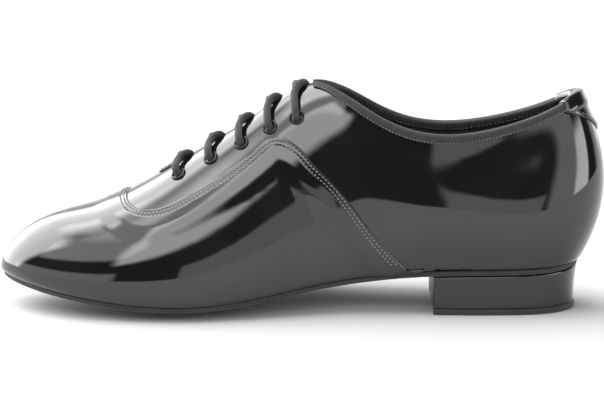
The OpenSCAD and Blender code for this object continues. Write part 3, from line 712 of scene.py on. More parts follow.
# seam between vamp and quarters
seamLine = {
    # station and height share of the vamp's upper edge, from the throat to the waist
    "points": [(3.16, 1.0), (3.165, 0.89), (3.2, 0.79), (3.31, 0.69), (3.49, 0.62), (3.76, 0.588),
            (4.15, 0.602),
               (4.69, 0.63), (5.1, 0.667), (5.27, 0.678), (5.42, 0.664), (5.56, 0.637), (5.74,
                       0.59), (5.92, 0.54),
               (6.11, 0.49), (6.56, 0.425), (7.01, 0.33), (7.46, 0.175), (7.75, 0.07), (7.95, 0.0), (8.1,
                       -0.06)],
    "rows": (1.5, 3.2),     # distance of the stitch rows from the edge
    "thread": 0.66, "stitch": 1.15, "gap": 0.75,
    "groove": 0.12, "lap": 8.0, "proud": 0.85, "skive": 1.1,
}
flatU, flatV = 24.0, 62.0   # rough millimetres per station and per height share


def signedHeight(uc):
    # unrolled place of a point: along the shoe, and down from the crest to either side
    return np.stack([uc[..., 0] * flatU, uc[..., 1] * flatV], -1)


def seamCurve():
    side = [(u * flatU, (1 - v) * flatV) for u, v in seamLine["points"]]
    both = [(a, -b) for a, b in reversed(side[1:])] + side
    flat = smoothLine(both, 1400)
    uc = np.stack([flat[:, 0] / flatU, flat[:, 1] / flatV], 1)
    v = 1 - np.abs(uc[:, 1])
    space = skin(uc[:, 0], np.where(uc[:, 1] < 0, inner, outer), np.clip(v, 0, 1), 0)
    space[:, 2] += np.minimum(v, 0) * 40
    return flat, space


seamFlat, seamSpace = seamCurve()
seamTangent = unit(np.gradient(seamFlat, axis=0))


def paramsToSkin(uc):
    # splits unrolled places into station, side and height share
    c = uc[..., 1]
    return uc[..., 0], np.where(c < 0, inner, outer), 1 - np.abs(c)


def seamDistance(uc):
    # millimetres ahead of the vamp's upper edge, negative behind it
    u, side, e = paramsToSkin(uc)
    flat = signedHeight(uc)
    space = skin(u, side, np.clip(e, 0, 1), 0)
    out = np.zeros(len(uc))
    near = seamSpace[::4]
    for a in range(0, len(uc), 4000):
        q = space[a:a + 4000]
        d2 = ((q[:, None] - near[None]) ** 2).sum(2)
        k = d2.argmin(1) * 4
        best = np.full(len(q), 1e9)
        bestK = k.copy()
        for off in (-3, -2, -1, 0, 1, 2, 3):
            kk = np.clip(k + off, 0, len(seamSpace) - 2)
            p0, p1 = seamSpace[kk], seamSpace[kk + 1]
            ab = p1 - p0
            t = np.clip(((q - p0) * ab).sum(1) / (ab * ab).sum(1), 0, 1)
            dist = np.linalg.norm(q - p0 - ab * t[:, None], axis=1)
            better = dist < best
            best = np.where(better, dist, best)
            bestK = np.where(better, kk, bestK)
        rel = flat[a:a + 4000] - seamFlat[bestK]
        tan = seamTangent[bestK]
        sign = np.sign(tan[:, 0] * rel[:, 1] - tan[:, 1] * rel[:, 0])
        out[a:a + 4000] = best * np.where(sign == 0, 1, sign)
    return out


# which sign lies towards the toe
if seamDistance(np.array([[1.5, 0.5]]))[0] < 0:
    seamTangent = -seamTangent


def edgeRoll(d, r):
    # how far a turned edge has rolled down at distance d from it
    d = np.clip(d, 0, r)
    return r - np.sqrt(np.maximum(r * r - (r - d) ** 2, 0))


def groove(d, at, wide):
    return np.exp(-((d - at) / wide) ** 2)


def vampRelief(d):
    # height of the vamp's face above the last
    s = seamLine
    lift = s["proud"] * (1 - smooth(d, s["lap"], s["lap"] * 2.2))
    lift = lift - 0.6 * edgeRoll(d, 0.6) / 0.6
    for at in s["rows"]:
        lift = lift - s["groove"] * groove(d, at, 0.42)
    mid = sum(s["rows"]) / 2
    return lift - 0.04 * groove(d, mid, 0.5)


def rowsUp(u, side, top, count, drops=()):
    # rows of e for one column, from under the foot to the top height
    v0 = featherV(u, side)
    under = [-2, -1.5, -1, -0.8, -0.6, -0.4, -0.2]
    speed = topSpeed(u, side)
    tops = [float(top - d / speed) for d in drops] or [float(top)]
    rise = [float(v0 + (tops[0] - v0) * k / count) for k in range(count)]
    return np.array(under + rise + tops)


def buildVamp():
    us = np.concatenate([[0, 0.03, 0.07, 0.12, 0.18], np.arange(0.25, 3.0, 0.045), np.arange(3.0, 8.2,
            0.042)])
    cols = []
    for u in us:
        e = rowsUp(u, outer, 1.0, 58)
        e2 = rowsUp(u, inner, 1.0, 58)
        c = np.concatenate([-(1 - e2), (1 - e)[::-1][1:]])
        cols.append(np.stack([np.full(len(c), u), c], 1))
    ni, nj = len(cols), len(cols[0])
    uc = np.vstack(cols)
    faces = gridFaces(ni, nj)
    s = seamLine
    levels = [0, 0.12, 0.3, 0.55, 0.8]
    for at in s["rows"]:
        levels += [at - 0.55, at - 0.25, at, at + 0.25, at + 0.55]
    levels += [4.5, 6.0, 8.0]
    uc, faces, d = sliceAlong(uc, faces, seamDistance, levels)
    faces = [f for f in faces if min(d[i] for i in f) > -1e-3 and max(d[i] for i in f) > 1e-3]
    u, side, e = paramsToSkin(uc)

    def place(u, c, deep):
        side = np.where(c < 0, inner, outer)
        dd = seamDistance(np.stack([u, c], -1))
        lift = vampRelief(np.maximum(dd, 0))
        return skin(u, side, 1 - np.abs(c), -lift if not deep else 0.98 - s["skive"] * (1 - smooth(dd,
                s["lap"], s["lap"] * 2.2)))
    far = place(uc[:, 0], uc[:, 1], False)
    near = place(uc[:, 0], uc[:, 1], True)
    eps = 0.003
    # exact normals of the shaped face
    cc = uc[:, 1]
    du = place(uc[:, 0] + eps, cc, False) - place(np.maximum(uc[:, 0] - eps, 0.001), cc, False)
    dc = place(uc[:, 0], cc + eps, False) - place(uc[:, 0], cc - eps, False)
    normal = unit(np.cross(du, dc))
    points, allFaces, used = closedPanel(far, near, faces)
    return points, allFaces, normal[used], used, e[used], uc[used]


def finishNormals(name, points, faces, exact, trust, material, **kw):
    obj = newPiece(name, points, faces, material, **kw)
    mesh = obj.data
    n = len(points)
    own = np.zeros(n * 3)
    mesh.vertices.foreach_get("normal", own)
    own = own.reshape(-1, 3)
    m = len(exact)
    flip = np.sign((own[:m] * exact).sum(1))
    flip[flip == 0] = 1
    exact = exact * flip[:, None]
    own[:m] = np.where(trust[:, None], exact, own[:m])
    mesh.normals_split_custom_set_from_vertices([tuple(v) for v in own])
    return obj


points, faces, exact, used, e, uc = buildVamp()
trust = (e > 0.13) & (uc[:, 0] > 0.3)
finishNormals("vampLeather", points, faces, exact, trust, patent, slot="patent", stands=("vamp",))
report("vamp %d points" % len(points))

facing = {"gap": 2.0, "closed": 0.15}


def facingV(u, side):
    u, side = spread(u, side)
    cut = np.maximum(facing["closed"], facing["gap"] * smooth(u, 3.4, 3.7)) / topSpeed(np.minimum(u, 6.0),
            side)
    return 1 - cut * (1 - smooth(u, 5.9, 6.5))


def buildQuarter(side):
    us = np.concatenate([np.arange(2.9, 8.0, 0.042), np.arange(8.0, 11.3, 0.045), np.linspace(11.3, 12.0,
            26)])
    drops = [7, 4.5, 2.8, 1.7, 1.1, 0.8, 0.55, 0.35, 0.18, 0.07, 0.0]
    cols = []
    for u in us:
        e = rowsUp(u, side, float(facingV(u, side)), 52, drops)
        cols.append(np.stack([np.full(len(e), u), side * (1 - e)], 1))
    ni, nj = len(cols), len(cols[0])
    uc = np.vstack(cols)
    faces = gridFaces(ni, nj)
    uc, faces, d = sliceAlong(uc, faces, seamDistance, [seamLine["lap"]])
    faces = [f for f in faces if max(d[i] for i in f) < seamLine["lap"] + 1e-3]

    def place(u, c, deep):
        e = 1 - np.abs(c)
        dist = (facingV(u, np.full(len(u), side)) - e) * topSpeed(u, np.full(len(u), side))
        drop = edgeRoll(np.maximum(dist, 0), 0.6) * (1 - smooth(u, 6.1, 6.5))
        return skin(u, np.full(len(u), side), e, 1.0 if deep else drop)
    far, near = place(uc[:, 0], uc[:, 1], False), place(uc[:, 0], uc[:, 1], True)
    eps = 0.003
    top = side * (1 - facingV(uc[:, 0], np.full(len(uc), side)))
    cc = uc[:, 1]
    du = place(np.minimum(uc[:, 0] + eps, heelU), cc, False) - place(uc[:, 0] - eps, cc, False)
    dc = place(uc[:, 0], cc + side * eps, False) - place(uc[:, 0], np.where(np.abs(cc - top) < 2 * eps, cc,
            cc - side * eps), False)
    normal = unit(np.cross(du, dc))
    points, allFaces, used = closedPanel(far, near, faces)
    e = 1 - np.abs(uc[used][:, 1])
    return points, allFaces, normal[used], e, uc[used]


for side, name, node in ((inner, "quarterInner", "quarter_medial"), (outer, "quarterOuter",
        "quarter_lateral")):
    points, faces, exact, e, uc = buildQuarter(side)
    trust = (e > 0.13) & (uc[:, 0] < heelU - 0.01)
    finishNormals(name, points, faces, exact, trust, patent, slot="patent", stands=(node,))
report("quarters made")

# layers inside the shoe
def seamV(u):
    p = np.array(seamLine["points"])
    return np.where(u <= 3.16, 1.0, np.interp(u, p[:, 0], p[:, 1]))


def layerPiece(name, columns, lows, highs, count, near, far, material, body="shoe", shape=None, **kw):
    # a sheet between two depths, over columns of (station, side) and from one height to another
    u = np.array([c[0] for c in columns], float)[:, None]
    side = np.array([c[1] for c in columns], float)[:, None]
    t = np.linspace(0, 1, count)[None, :]
    e = np.array(lows, float)[:, None] * (1 - t) + np.array(highs, float)[:, None] * t
    u, side, e = spread(u, side, e)
    u, side, e = u.ravel(), side.ravel(), e.ravel()
    rise = shape(u, side, e) if shape else 0
    a, b = skin(u, side, e, near - rise), skin(u, side, e, far - rise)
    faces = gridFaces(len(columns), count)
    points, allFaces = closedPanel(a, b, faces)[:2]
    return newPiece(name, points, allFaces, material, body, **kw)


def aroundBack(start, step):
    us = np.arange(start, heelU - 0.01, step)
    return [(u, inner) for u in us] + [(heelU, outer)] + [(u, outer) for u in us[::-1]]


liningDepth, insideDepth = 2.1, 2.9   # the lining's two faces, measured in from the leather's face
cols = aroundBack(3.34, 0.07)
lows = [float(seamV(u)) + 0.012 if u < 7.4 else -2.0 for u, s in cols]
highs = [float(facingV(u, s)) for u, s in cols]
layerPiece("quarterLining", cols, lows, highs, 40, liningDepth, insideDepth, liningCloth, slot="lining",
        stands=("quarter_lining",))

vampCols = [u for u in np.arange(0.7, 7.3, 0.08)]
pieces = []
for side in (inner, outer):
    cs = [(u, side) for u in vampCols]
    lo = [-2.0 if u < 7.1 else 0.03 for u in vampCols]
    hi = [float(seamV(np.array(u))) - (0.012 if u > 3.18 else 0) for u in vampCols]
    u = np.array(vampCols)[:, None]
    t = np.linspace(0, 1, 34)[None, :]
    e = np.array(lo)[:, None] * (1 - t) + np.array(hi)[:, None] * t
    uu, ss, ee = spread(u, side, e)
    a = skin(uu.ravel(), ss.ravel(), ee.ravel(), liningDepth)
    b = skin(uu.ravel(), ss.ravel(), ee.ravel(), insideDepth)
    pieces.append(closedPanel(a, b, gridFaces(len(vampCols), 34, flip=side > 0))[:2])
points, faces = joinParts(pieces)
newPiece("vampLining", points, faces, liningCloth, slot="lining", stands=("vamp_lining",))

gripCols = aroundBack(9.8, 0.05)
layerPiece("heelGrip", gripCols, [0.3 + 0.12 * (1 - smooth(u, 9.8, 10.6)) for u, s in gripCols],
           [0.84 - 0.1 * (1 - smooth(u, 9.8, 10.8)) for u,
                   s in gripCols], 26, insideDepth + 0.3, insideDepth + 0.9, gripNap,
           slot="suede", stands=("heel_grip",))
report("linings made")


def bottomPiece(name, us, inset, low, high, crown, material, **kw):
    across = np.linspace(-1, 1, 31)
    u, k = spread(np.array(us)[:, None], across[None, :])
    u, k = u.ravel(), k.ravel()
    w = halfWidth(u)
    half = w - np.minimum(inset, w * 0.9)
    side = np.where(k < 0, inner, outer)
    rim = np.clip((1 - np.abs(k)) * half, 0, 1.2) / 1.2
    end = np.clip(np.minimum(u - us[0], us[-1] - u) / 0.08, 0, 1)
    soft = (1 - np.sqrt(1 - (1 - rim) ** 2)) * 0.5 + (1 - end) * 0.25
    inn = w - half * np.abs(k)
    a = bottomPoint(u, side, inn, high - soft * (high - low) + crown * (1 - k * k) * end)
    b = bottomPoint(u, side, inn, low)
    points, faces = closedPanel(a, b, gridFaces(len(us), len(across), flip=True))[:2]
    return newPiece(name, points, faces, material, **kw)


boardTop = insideDepth + 0.3 + 1.6
sockLow = boardTop + 0.15
bottomPiece("sockLining", list(np.arange(0.95, 11.66, 0.1)) + [11.66], insideDepth + 3, sockLow,
        sockLow + 0.8, 0.0, sockLeather,
            slot="lining", stands=("sock_lining",))
heelPad = bottomPiece("heelPad", list(np.arange(9.0, 11.31, 0.06)), insideDepth + 5, sockLow + 0.95,
        sockLow + 2.2, 0.25, sockLeather,
                      slot="lining", stands=("heel_pad",))

# topline tape
tape = {"start": 6.14, "width": 3.7, "ribPitch": 1.2, "ribRise": 0.2, "slant": 0.7, "column": 0.2}


def fromTop(u, side, drop, depth):
    u, side, drop, depth = spread(u, side, drop, depth)
    v = 1 - np.maximum(drop, 0) / topSpeed(u, side)
    up = unit(rib(u, side, 1.0) - rib(u, side, 0.97))
    return skin(u, side, v, depth) + up * np.maximum(-drop, 0)[..., None]


def toplineColumns(start, step):
    # evenly spaced places along the top edge, round the back of the shoe
    us = np.linspace(start, heelU, 900)
    u = np.concatenate([us, us[::-1][1:]])
    side = np.concatenate([np.full(900, inner), np.full(899, outer)])
    w = np.where(side < 0, u, 2 * heelU - u)
    p = rib(u, side, 1.0)
    run = np.concatenate([[0], np.cumsum(np.linalg.norm(np.diff(p, axis=0), axis=1))])
    spots = np.linspace(0, run[-1], int(run[-1] / step))
    w = np.interp(spots, run, w)
    return np.where(w <= heelU, w, 2 * heelU - w), np.where(w <= heelU, inner, outer), spots


def makeTape():
    u, side, run = toplineColumns(tape["start"], tape["column"])
    w = tape["width"]
    ring = np.array([[w, -0.35], [w, -0.6], [w - 0.15, -0.8], [w * 0.66, -0.88], [w * 0.33, -0.9],
            [0.25, -0.86], [-0.35, -0.55],
                     [-0.75, 0.2], [-0.86, 1.0], [-0.86, 1.9], [-0.7, 2.7], [-0.3, 3.45], [0.4,
                             3.72], [1.6, 3.75], [w - 0.3, 3.72],
                     [w, 3.55], [w, 3.3], [1.5, 3.28], [-0.2, 3.22], [-0.28, 1.4], [-0.2, -0.28], [1.5,
                             -0.32]])
    nj = len(ring)
    arc = np.concatenate([[0], np.cumsum(np.linalg.norm(np.diff(ring, axis=0), axis=1))])
    uu, jj = np.meshgrid(u, np.arange(nj), indexing="ij")
    ss = np.repeat(side[:, None], nj, 1)
    rr = np.repeat(run[:, None], nj, 1)
    drop, depth = ring[jj, 0], ring[jj, 1]
    phase = 2 * math.pi * (rr / tape["ribPitch"] + arc[jj] * tape["slant"] / tape["ribPitch"])
    shown = np.where(jj < 17, 1.0, 0.0) * np.clip(np.minimum(arc[jj], 3 + w) / 0.6, 0, 1)
    rise = tape["ribRise"] * np.cos(phase) * shown
    # the rib stands out of the tape: outward on the flanks, upward on the fold
    flank = np.where(depth < 0.4, -1.0, np.where(depth > 2.6, 1.0, 0.0))
    p = fromTop(uu.ravel(), ss.ravel(), (drop - np.where(flank == 0, rise, 0)).ravel(),
            (depth + flank * rise).ravel())
    faces = gridFaces(len(u), nj, closeJ=True, flip=True)
    n = (len(u) - 1) * nj
    faces += [list(range(nj)), [n + k for k in range(nj)][::-1]]
    return p, faces


points, faces = makeTape()
newPiece("toplineTape", points, [f[::-1] for f in faces], tapeCloth, slot="binding",
        stands=("topline_binding",))


def rowOnTop(start, drop, depth, step=0.25):
    u, side = toplineColumns(start, step)[:2]
    p = fromTop(u, side, drop, depth)
    return p, unit(p - fromTop(u, side, drop, depth + 1.0))


parts = []
p, up = rowOnTop(tape["start"] + 0.02, tape["width"] - 0.45, -0.86)
parts.append(stitchRow(p, up, 0.5, 0.9, 0.8, 0.16))
p, up = rowOnTop(tape["start"] + 0.02, tape["width"] - 0.85, 3.75)
parts.append(stitchRow(p, up, 0.38, 1.1, 0.9, 0.1))
points, faces = joinParts(parts)
newPiece("tapeStitches", points, faces, threadWithPaintedGlint, slot="binding")
report("tape made")

# heel tab
tab = {"reach": 4 / 3, "side": 4.4, "slope": 14.5, "skin": 0.8}


def tabDrop(u):
    return tab["side"] + tab["slope"] * np.clip((u - heelU + tab["reach"]) / tab["reach"], 0, 1)


def tabDepth(drop):
    # clear of the tape above, down on the leather below it
    return -1.2 + 1.05 * smooth(drop, 4.2, 6.8)


def tabColumns(step=0.035):
    us = np.arange(heelU - tab["reach"], heelU - 0.001, step)
    u = np.concatenate([us, [heelU], us[::-1]])
    side = np.concatenate([np.full(len(us), inner), [outer], np.full(len(us), outer)])
    return u, side


def makeTab():
    u, side = tabColumns()
    outB, inB = -1.2, insideDepth + 1.2
    face = outB - tab["skin"]
    downs = np.concatenate([[1.0], 1 - np.array([0.004, 0.012, 0.025, 0.045, 0.07]), np.linspace(0.9, 0.05,
            16)])
    rings = []
    for k in range(len(u)):
        d = float(tabDrop(u[k]))
        end = min(1.0, (u[k] - heelU + tab["reach"]) / 0.05)
        ring = []
        for s in downs:
            r = float(edgeRoll(np.array((1 - s) * d), 0.7))
            ring.append((s * d, float(tabDepth(s * d)) - tab["skin"] + r + (1 - end) * 0.5))
        ring += [(0.25, face), (-0.7, face + 0.35), (-1.5, face + 1.2), (-1.9, 0.4), (-1.95, 1.5),
                (-1.9, insideDepth - 0.4),
                 (-1.2, insideDepth + 1.2), (0, inB + tab["skin"]), (3, inB + tab["skin"]), (5.6,
                         inB + tab["skin"]),
                 (6, inB + tab["skin"] - 0.3), (6, inB), (3, inB), (0, inB), (-1.1, inB - 1), (-1.1,
                         outB + 1), (0, outB)]
        ring += [(d * f, float(tabDepth(d * f))) for f in (0.2, 0.33, 0.5, 0.66, 0.83, 1.0)]
        rings.append(ring)
    ring = np.array(rings)
    ni, nj = ring.shape[:2]
    uu, ss = np.repeat(u[:, None], nj, 1), np.repeat(side[:, None], nj, 1)
    p = fromTop(uu.ravel(), ss.ravel(), ring[..., 0].ravel(), ring[..., 1].ravel())
    faces = gridFaces(ni, nj, closeJ=True)
    n = (ni - 1) * nj
    return p, faces + [list(range(nj))[::-1], [n + k for k in range(nj)]]


points, faces = makeTab()
newPiece("heelTab", points, faces, patent, slot="patent", stands=("heel_tab",))
u, side = tabColumns(0.01)
low = tabDrop(u) - 1.5
p = fromTop(u, side, low, tabDepth(low) - 0.8)
up = unit(p - fromTop(u, side, low, tabDepth(low)))
parts = [stitchRow(p, up, 0.5, 1.5, 0.7, 0.12)]
points, faces = joinParts(parts)
newPiece("tabStitches", points, faces, threadWithPaintedGlint, slot="patent")

# stitches of the vamp seam
def seamRow(distance):
    flat = seamFlat[::2]
    normal = np.stack([-seamTangent[::2, 1], seamTangent[::2, 0]], 1)
    uc = np.stack([flat[:, 0] / flatU, flat[:, 1] / flatV], 1)
    step = distance * np.ones(len(uc))
    for _ in range(6):
        trial = np.stack([(flat[:, 0] + normal[:, 0] * step) / flatU,
                (flat[:, 1] + normal[:, 1] * step) / flatV], 1)
        got = seamDistance(trial)
        step = step * np.clip(distance / np.maximum(got, 0.2), 0.6, 1.6)
    c = trial[:, 1]
    keep = (1 - np.abs(c) > 0.055) & (trial[:, 0] < 7.9)
    trial = trial[keep]
    u, side, e = paramsToSkin(trial)
    lift = seamLine["proud"] - seamLine["groove"]
    p = skin(u, side, e, -lift)
    p = smoothLine(p[::6], 900)
    q = skin(u, side, e, 1.0)
    q = smoothLine(q[::6], 900)
    return p, unit(p - q)


parts = []
for at in seamLine["rows"]:
    p, up = seamRow(at)
    parts.append(stitchRow(p, up, seamLine["thread"], seamLine["stitch"], seamLine["gap"], 0.2))
points, faces = joinParts(parts)
newPiece("seamStitches", points, faces, threadWithPaintedGlint, slot="patent")
report("stitches sewn")

# eyelets
eyelet = {"edge": 15.0, "bore": 4.8, "flange": 7.4, "first": 3.91, "pitch": 0.465}


def eyeletPlace(k, side):
    u = eyelet["first"] + eyelet["pitch"] * k
    v = 1 - eyelet["edge"] / float(topSpeed(np.array(u), np.array(side)))
    return u, v


def makeEyelets(side):
    r, f = eyelet["bore"] / 2, eyelet["flange"] / 2
    profile = [(r, -3.55), (r, -1.5), (r, 0.2)]
    mid, tube = (r + f) / 2, (f - r) / 2
    for a in np.linspace(math.pi, 0, 13):
        profile.append((mid + tube * math.cos(a), 0.28 + 0.72 * math.sin(a)))
    profile += [(f, 0.12), (r + 0.35, 0.1), (r + 0.35, -3.2), (f - 0.4, -3.2), (f - 0.4, -3.6)]
    around = 48
    parts = []
    for k in range(5):
        u, v = eyeletPlace(k, side)
        at = skin(np.array(u), np.array(side), np.array(v), 0)
        n = sideNormal(np.array(u), np.array(side), np.array(v))
        a = unit(np.cross(n, [0.0, 1.0, 0.2]))
        b = np.cross(n, a)
        ang = np.linspace(0, 2 * math.pi, around, endpoint=False)
        pts = []
        for rad, z in profile:
            pts += list(at + n * z + rad * (np.cos(ang)[:, None] * a + np.sin(ang)[:, None] * b))
        parts.append((pts, gridFaces(len(profile), around, closeI=True, closeJ=True)))
    return joinParts(parts)


for side, name, node in ((inner, "eyeletsInner", "eyelets_medial"), (outer, "eyeletsOuter",
        "eyelets_lateral")):
    points, faces = makeEyelets(side)
    newPiece(name, points, faces, enamel, slot="eyelet_metal", stands=(node,))

# lace
lace = {
    "thick": 3.6, "strands": 8, "pitch": 3.0, "relief": 0.3, "ring": 0.3, "around": 36,
    "overOut": [[0, 10.5, 2.9], [0.4, 6.6, 2.35], [2.2, 3.7, 2.35], [4.2, 1.8, 1.9], [5.6, 0, 0],
            [6.2, 0, -4.6]],
    "overBack": [[9, 4.2, -7], [-4, 12, -7]],
    "underOut": [[0.3, 9.5, 2.9], [0.8, 5, 2.35], [1.3, 2.2, 1.9], [1.9, 0, 0], [2.2, 0, -4.6]],
    "underBack": [[5, 4.2, -7], [-4, 12, -7]],
    "endOuter": [[10, 3.6, 99.6], [18, 7, 95.5], [26, 10, 85], [31, 12, 72], [38, 13, 59], [47, 13, 46],
            [58, 13, 37],
                 [70, 12, 32], [94, 11, 31.5]],
    "endInner": [[10, -6, 100.3], [18, -9, 94], [25, -12, 82], [30, -13, 69], [37, -13, 55], [46, -12, 43],
                 [57, -11, 34], [68, -10, 31], [92, -9, 31.5]],
}


def crestStep(k):
    u = eyelet["first"] + eyelet["pitch"] * k
    return float(np.linalg.norm(rib(u + 0.2, inner, 1.0) - rib(u - 0.2, inner, 1.0))) / 0.4


def strandPoint(k, side, p):
    j = k + 1 if p[0] < 0 else k
    u = np.array(eyelet["first"] + eyelet["pitch"] * j + p[0] / crestStep(min(j, 4)))
    if abs(p[1]) < 1:
        return (skin(u, inner, 1.0, -p[2]) + skin(u, outer, 1.0, -p[2])) / 2 + np.array([0, side * p[1], 0])
    return skin(u, side, 1 - p[1] / topSpeed(u, side), -p[2])


def strand(k, side):
    u, v = eyeletPlace(k, side)
    out = [skin(u, side, v, -h) for h in (-5.4, -3.2, 2.6)]
    near = side < 0
    out += [strandPoint(k, side, p) for p in lace["overOut" if near else "underOut"]]
    out += [strandPoint(k, -side, p) for p in lace["overBack" if near else "underBack"] if k < 4 or p[0] > 0]
    return out


def halfLace(side):
    out = []
    for k in range(5):
        out += strand(k, side)
        side = -side
    return out


def makeLace():
    first = halfLace(inner) + [np.array(p, float) for p in lace["endOuter"]]
    second = halfLace(outer) + [np.array(p, float) for p in lace["endInner"]]
    route = first[::-1] + [strandPoint(0, inner, [0.1, 0, -7])] + second
    route = np.array([np.asarray(p, float).reshape(3) for p in route])
    length = lineLength(route)
    path = smoothLine(route, int(length / lace["ring"]))
    run = np.concatenate([[0], np.cumsum(np.linalg.norm(np.diff(path, axis=0), axis=1))])
    n, pitch = lace["strands"], lace["pitch"]

    def radius(k, angle):
        s = run[k]
        turn = angle / (2 * math.pi) * n
        a, b = turn + s / pitch * n / 4, turn - s / pitch * n / 4
        fa, fb = a - np.floor(a) - 0.5, b - np.floor(b) - 0.5
        over = (np.floor(a) + np.floor(b)) % 2 < 1
        ha, hb = np.cos(math.pi * fa), np.cos(math.pi * fb)
        h = np.where(over, ha * (0.55 + 0.45 * hb), hb * (0.55 + 0.45 * ha))
        return lace["thick"] / 2 + lace["relief"] * (h - 0.8)
    points, faces = sweptTube(path, radius, lace["around"])
    return points, faces, length


points, faces, laceLength = makeLace()
newPiece("laceCord", points, faces, cordCloth, slot="lace_cord", stands=("lace",))
report("lace is %.0f mm long" % laceLength)

# bar tack at the front of the slit
def makeBarTack():
    us = np.linspace(3.60, 3.84, 40)
    mid = (skin(us, inner, 1.0, -0.45) + skin(us, outer, 1.0, -0.45)) / 2
    path = smoothLine(mid, 70)

    def radius(k, angle):
        t = k / 69.0
        return (0.95 * np.sqrt(np.clip(1 - np.abs(2 * t - 1) ** 4, 0.05,
                1))) * (1 + 0.09 * np.cos(2 * math.pi * k / 7)) + 0 * angle
    return sweptTube(path, radius, 20)


points, faces = makeBarTack()
newPiece("barTack", points, faces, threadWithPaintedGlint, slot="lace_cord")

# tongue
tongue = {"hinge": (-79.0, 0.0, 47.0), "droop": 5.0, "start": 3.1, "end": 6.06}


def tonguePoints(u, c, depth):
    u, c, depth = spread(u, c, depth)
    low = 0.86 - 0.14 * smooth(u, 3.1, 5.6)
    e = 1 - (1 - low) * np.abs(c)
    side = np.where(c < 0, inner, outer)
    w = np.minimum(u, 6.0)
    d = insideDepth + 0.9 + 6.2 * smooth(u, 3.1, 3.85) + depth
    p = skin(w, side, e, d)
    middle = (skin(w, inner, 1.0, d) + skin(w, outer, 1.0, d)) / 2
    blendIn = (1 - smooth(np.abs(c), 0.0, 0.12))[..., None]
    p = p * (1 - blendIn) + middle * blendIn + np.array([26.0, 0, 13.0]) * np.maximum(0, u - 6)[..., None]
    h = np.array(tongue["hinge"])
    a = math.radians(tongue["droop"])
    q = p - h
    return np.stack([q[..., 0] * math.cos(a) + q[..., 2] * math.sin(a), q[..., 1],
                     -q[..., 0] * math.sin(a) + q[..., 2] * math.cos(a)], -1) + h


def makeTongue(near, far, trim):
    us = np.linspace(tongue["start"] + trim, tongue["end"] - trim * 0.4, 90)
    cs = np.linspace(-1, 1, 49)
    u, c = np.meshgrid(us, cs, indexing="ij")
    corner = np.sqrt(np.clip(1 - (np.clip(u - 5.72, 0, 1) / 0.42) ** 2, 0.02, 1)) * (1 - trim)
    c = c * corner
    rim = np.minimum((1 - np.abs(np.repeat(cs[None], len(us), 0))) * 18, (us[-1] - u) * 26)
    roll = edgeRoll(np.maximum(rim, 0), 0.5)
    a = tonguePoints(u.ravel(), c.ravel(), (near + roll).ravel())
    b = tonguePoints(u.ravel(), c.ravel(), far)
    return closedPanel(a, b, gridFaces(len(us), len(cs)))[:2]


points, faces = makeTongue(0.45, 1.25, 0.0)
newPiece("tongueLeather", points, faces, patent, "tongue", slot="patent", stands=("tongue",))
points, faces = makeTongue(1.35, 2.05, 0.02)
newPiece("tongueLining", points, faces, liningCloth, "tongue", slot="lining", stands=("tongue_lining",))
us = np.linspace(4.2, 5.72, 120)
edge = [tonguePoints(us, np.full(120, s * 0.9), 0.45) for s in (inner, outer)]
edgeUp = [unit(e - tonguePoints(us, np.full(120, s * 0.9), 1.0)) for e, s in zip(edge, (inner, outer))]
turn = np.linspace(-1, 1, 80) * 0.9
endU = 5.72 + 0.31 * np.sqrt(1 - turn ** 2 * 0.98)
endRow = tonguePoints(endU, turn * 0.93, 0.45)
parts = [stitchRow(e, n, 0.42, 1.6, 0.7, 0.05) for e, n in zip(edge, edgeUp)]
parts.append(stitchRow(endRow, unit(endRow - tonguePoints(endU, turn * 0.93, 1.0)), 0.42, 1.6, 0.7, 0.05))
points, faces = joinParts(parts)
newPiece("tongueStitches", points, faces, threadWithPaintedGlint, "tongue", slot="patent")
report("tongue made")

# sole
sole = {"thick": 2.2, "inset": 1.2, "top": -0.15, "fuzz": 0.07}
rng = np.random.default_rng(7)


def outlinePoint(u, side, inset, z):
    u, side, inset, z = spread(u, side, inset, z)
    s = station(u)[0]
    n = planOut(u, side)
    y = np.where(side < 0, s[..., 1], s[..., 2]) - last["centreY"]
    return np.stack([s[..., 0] - last["centreX"] - n[..., 0] * inset, y - n[..., 1] * inset, z], -1)


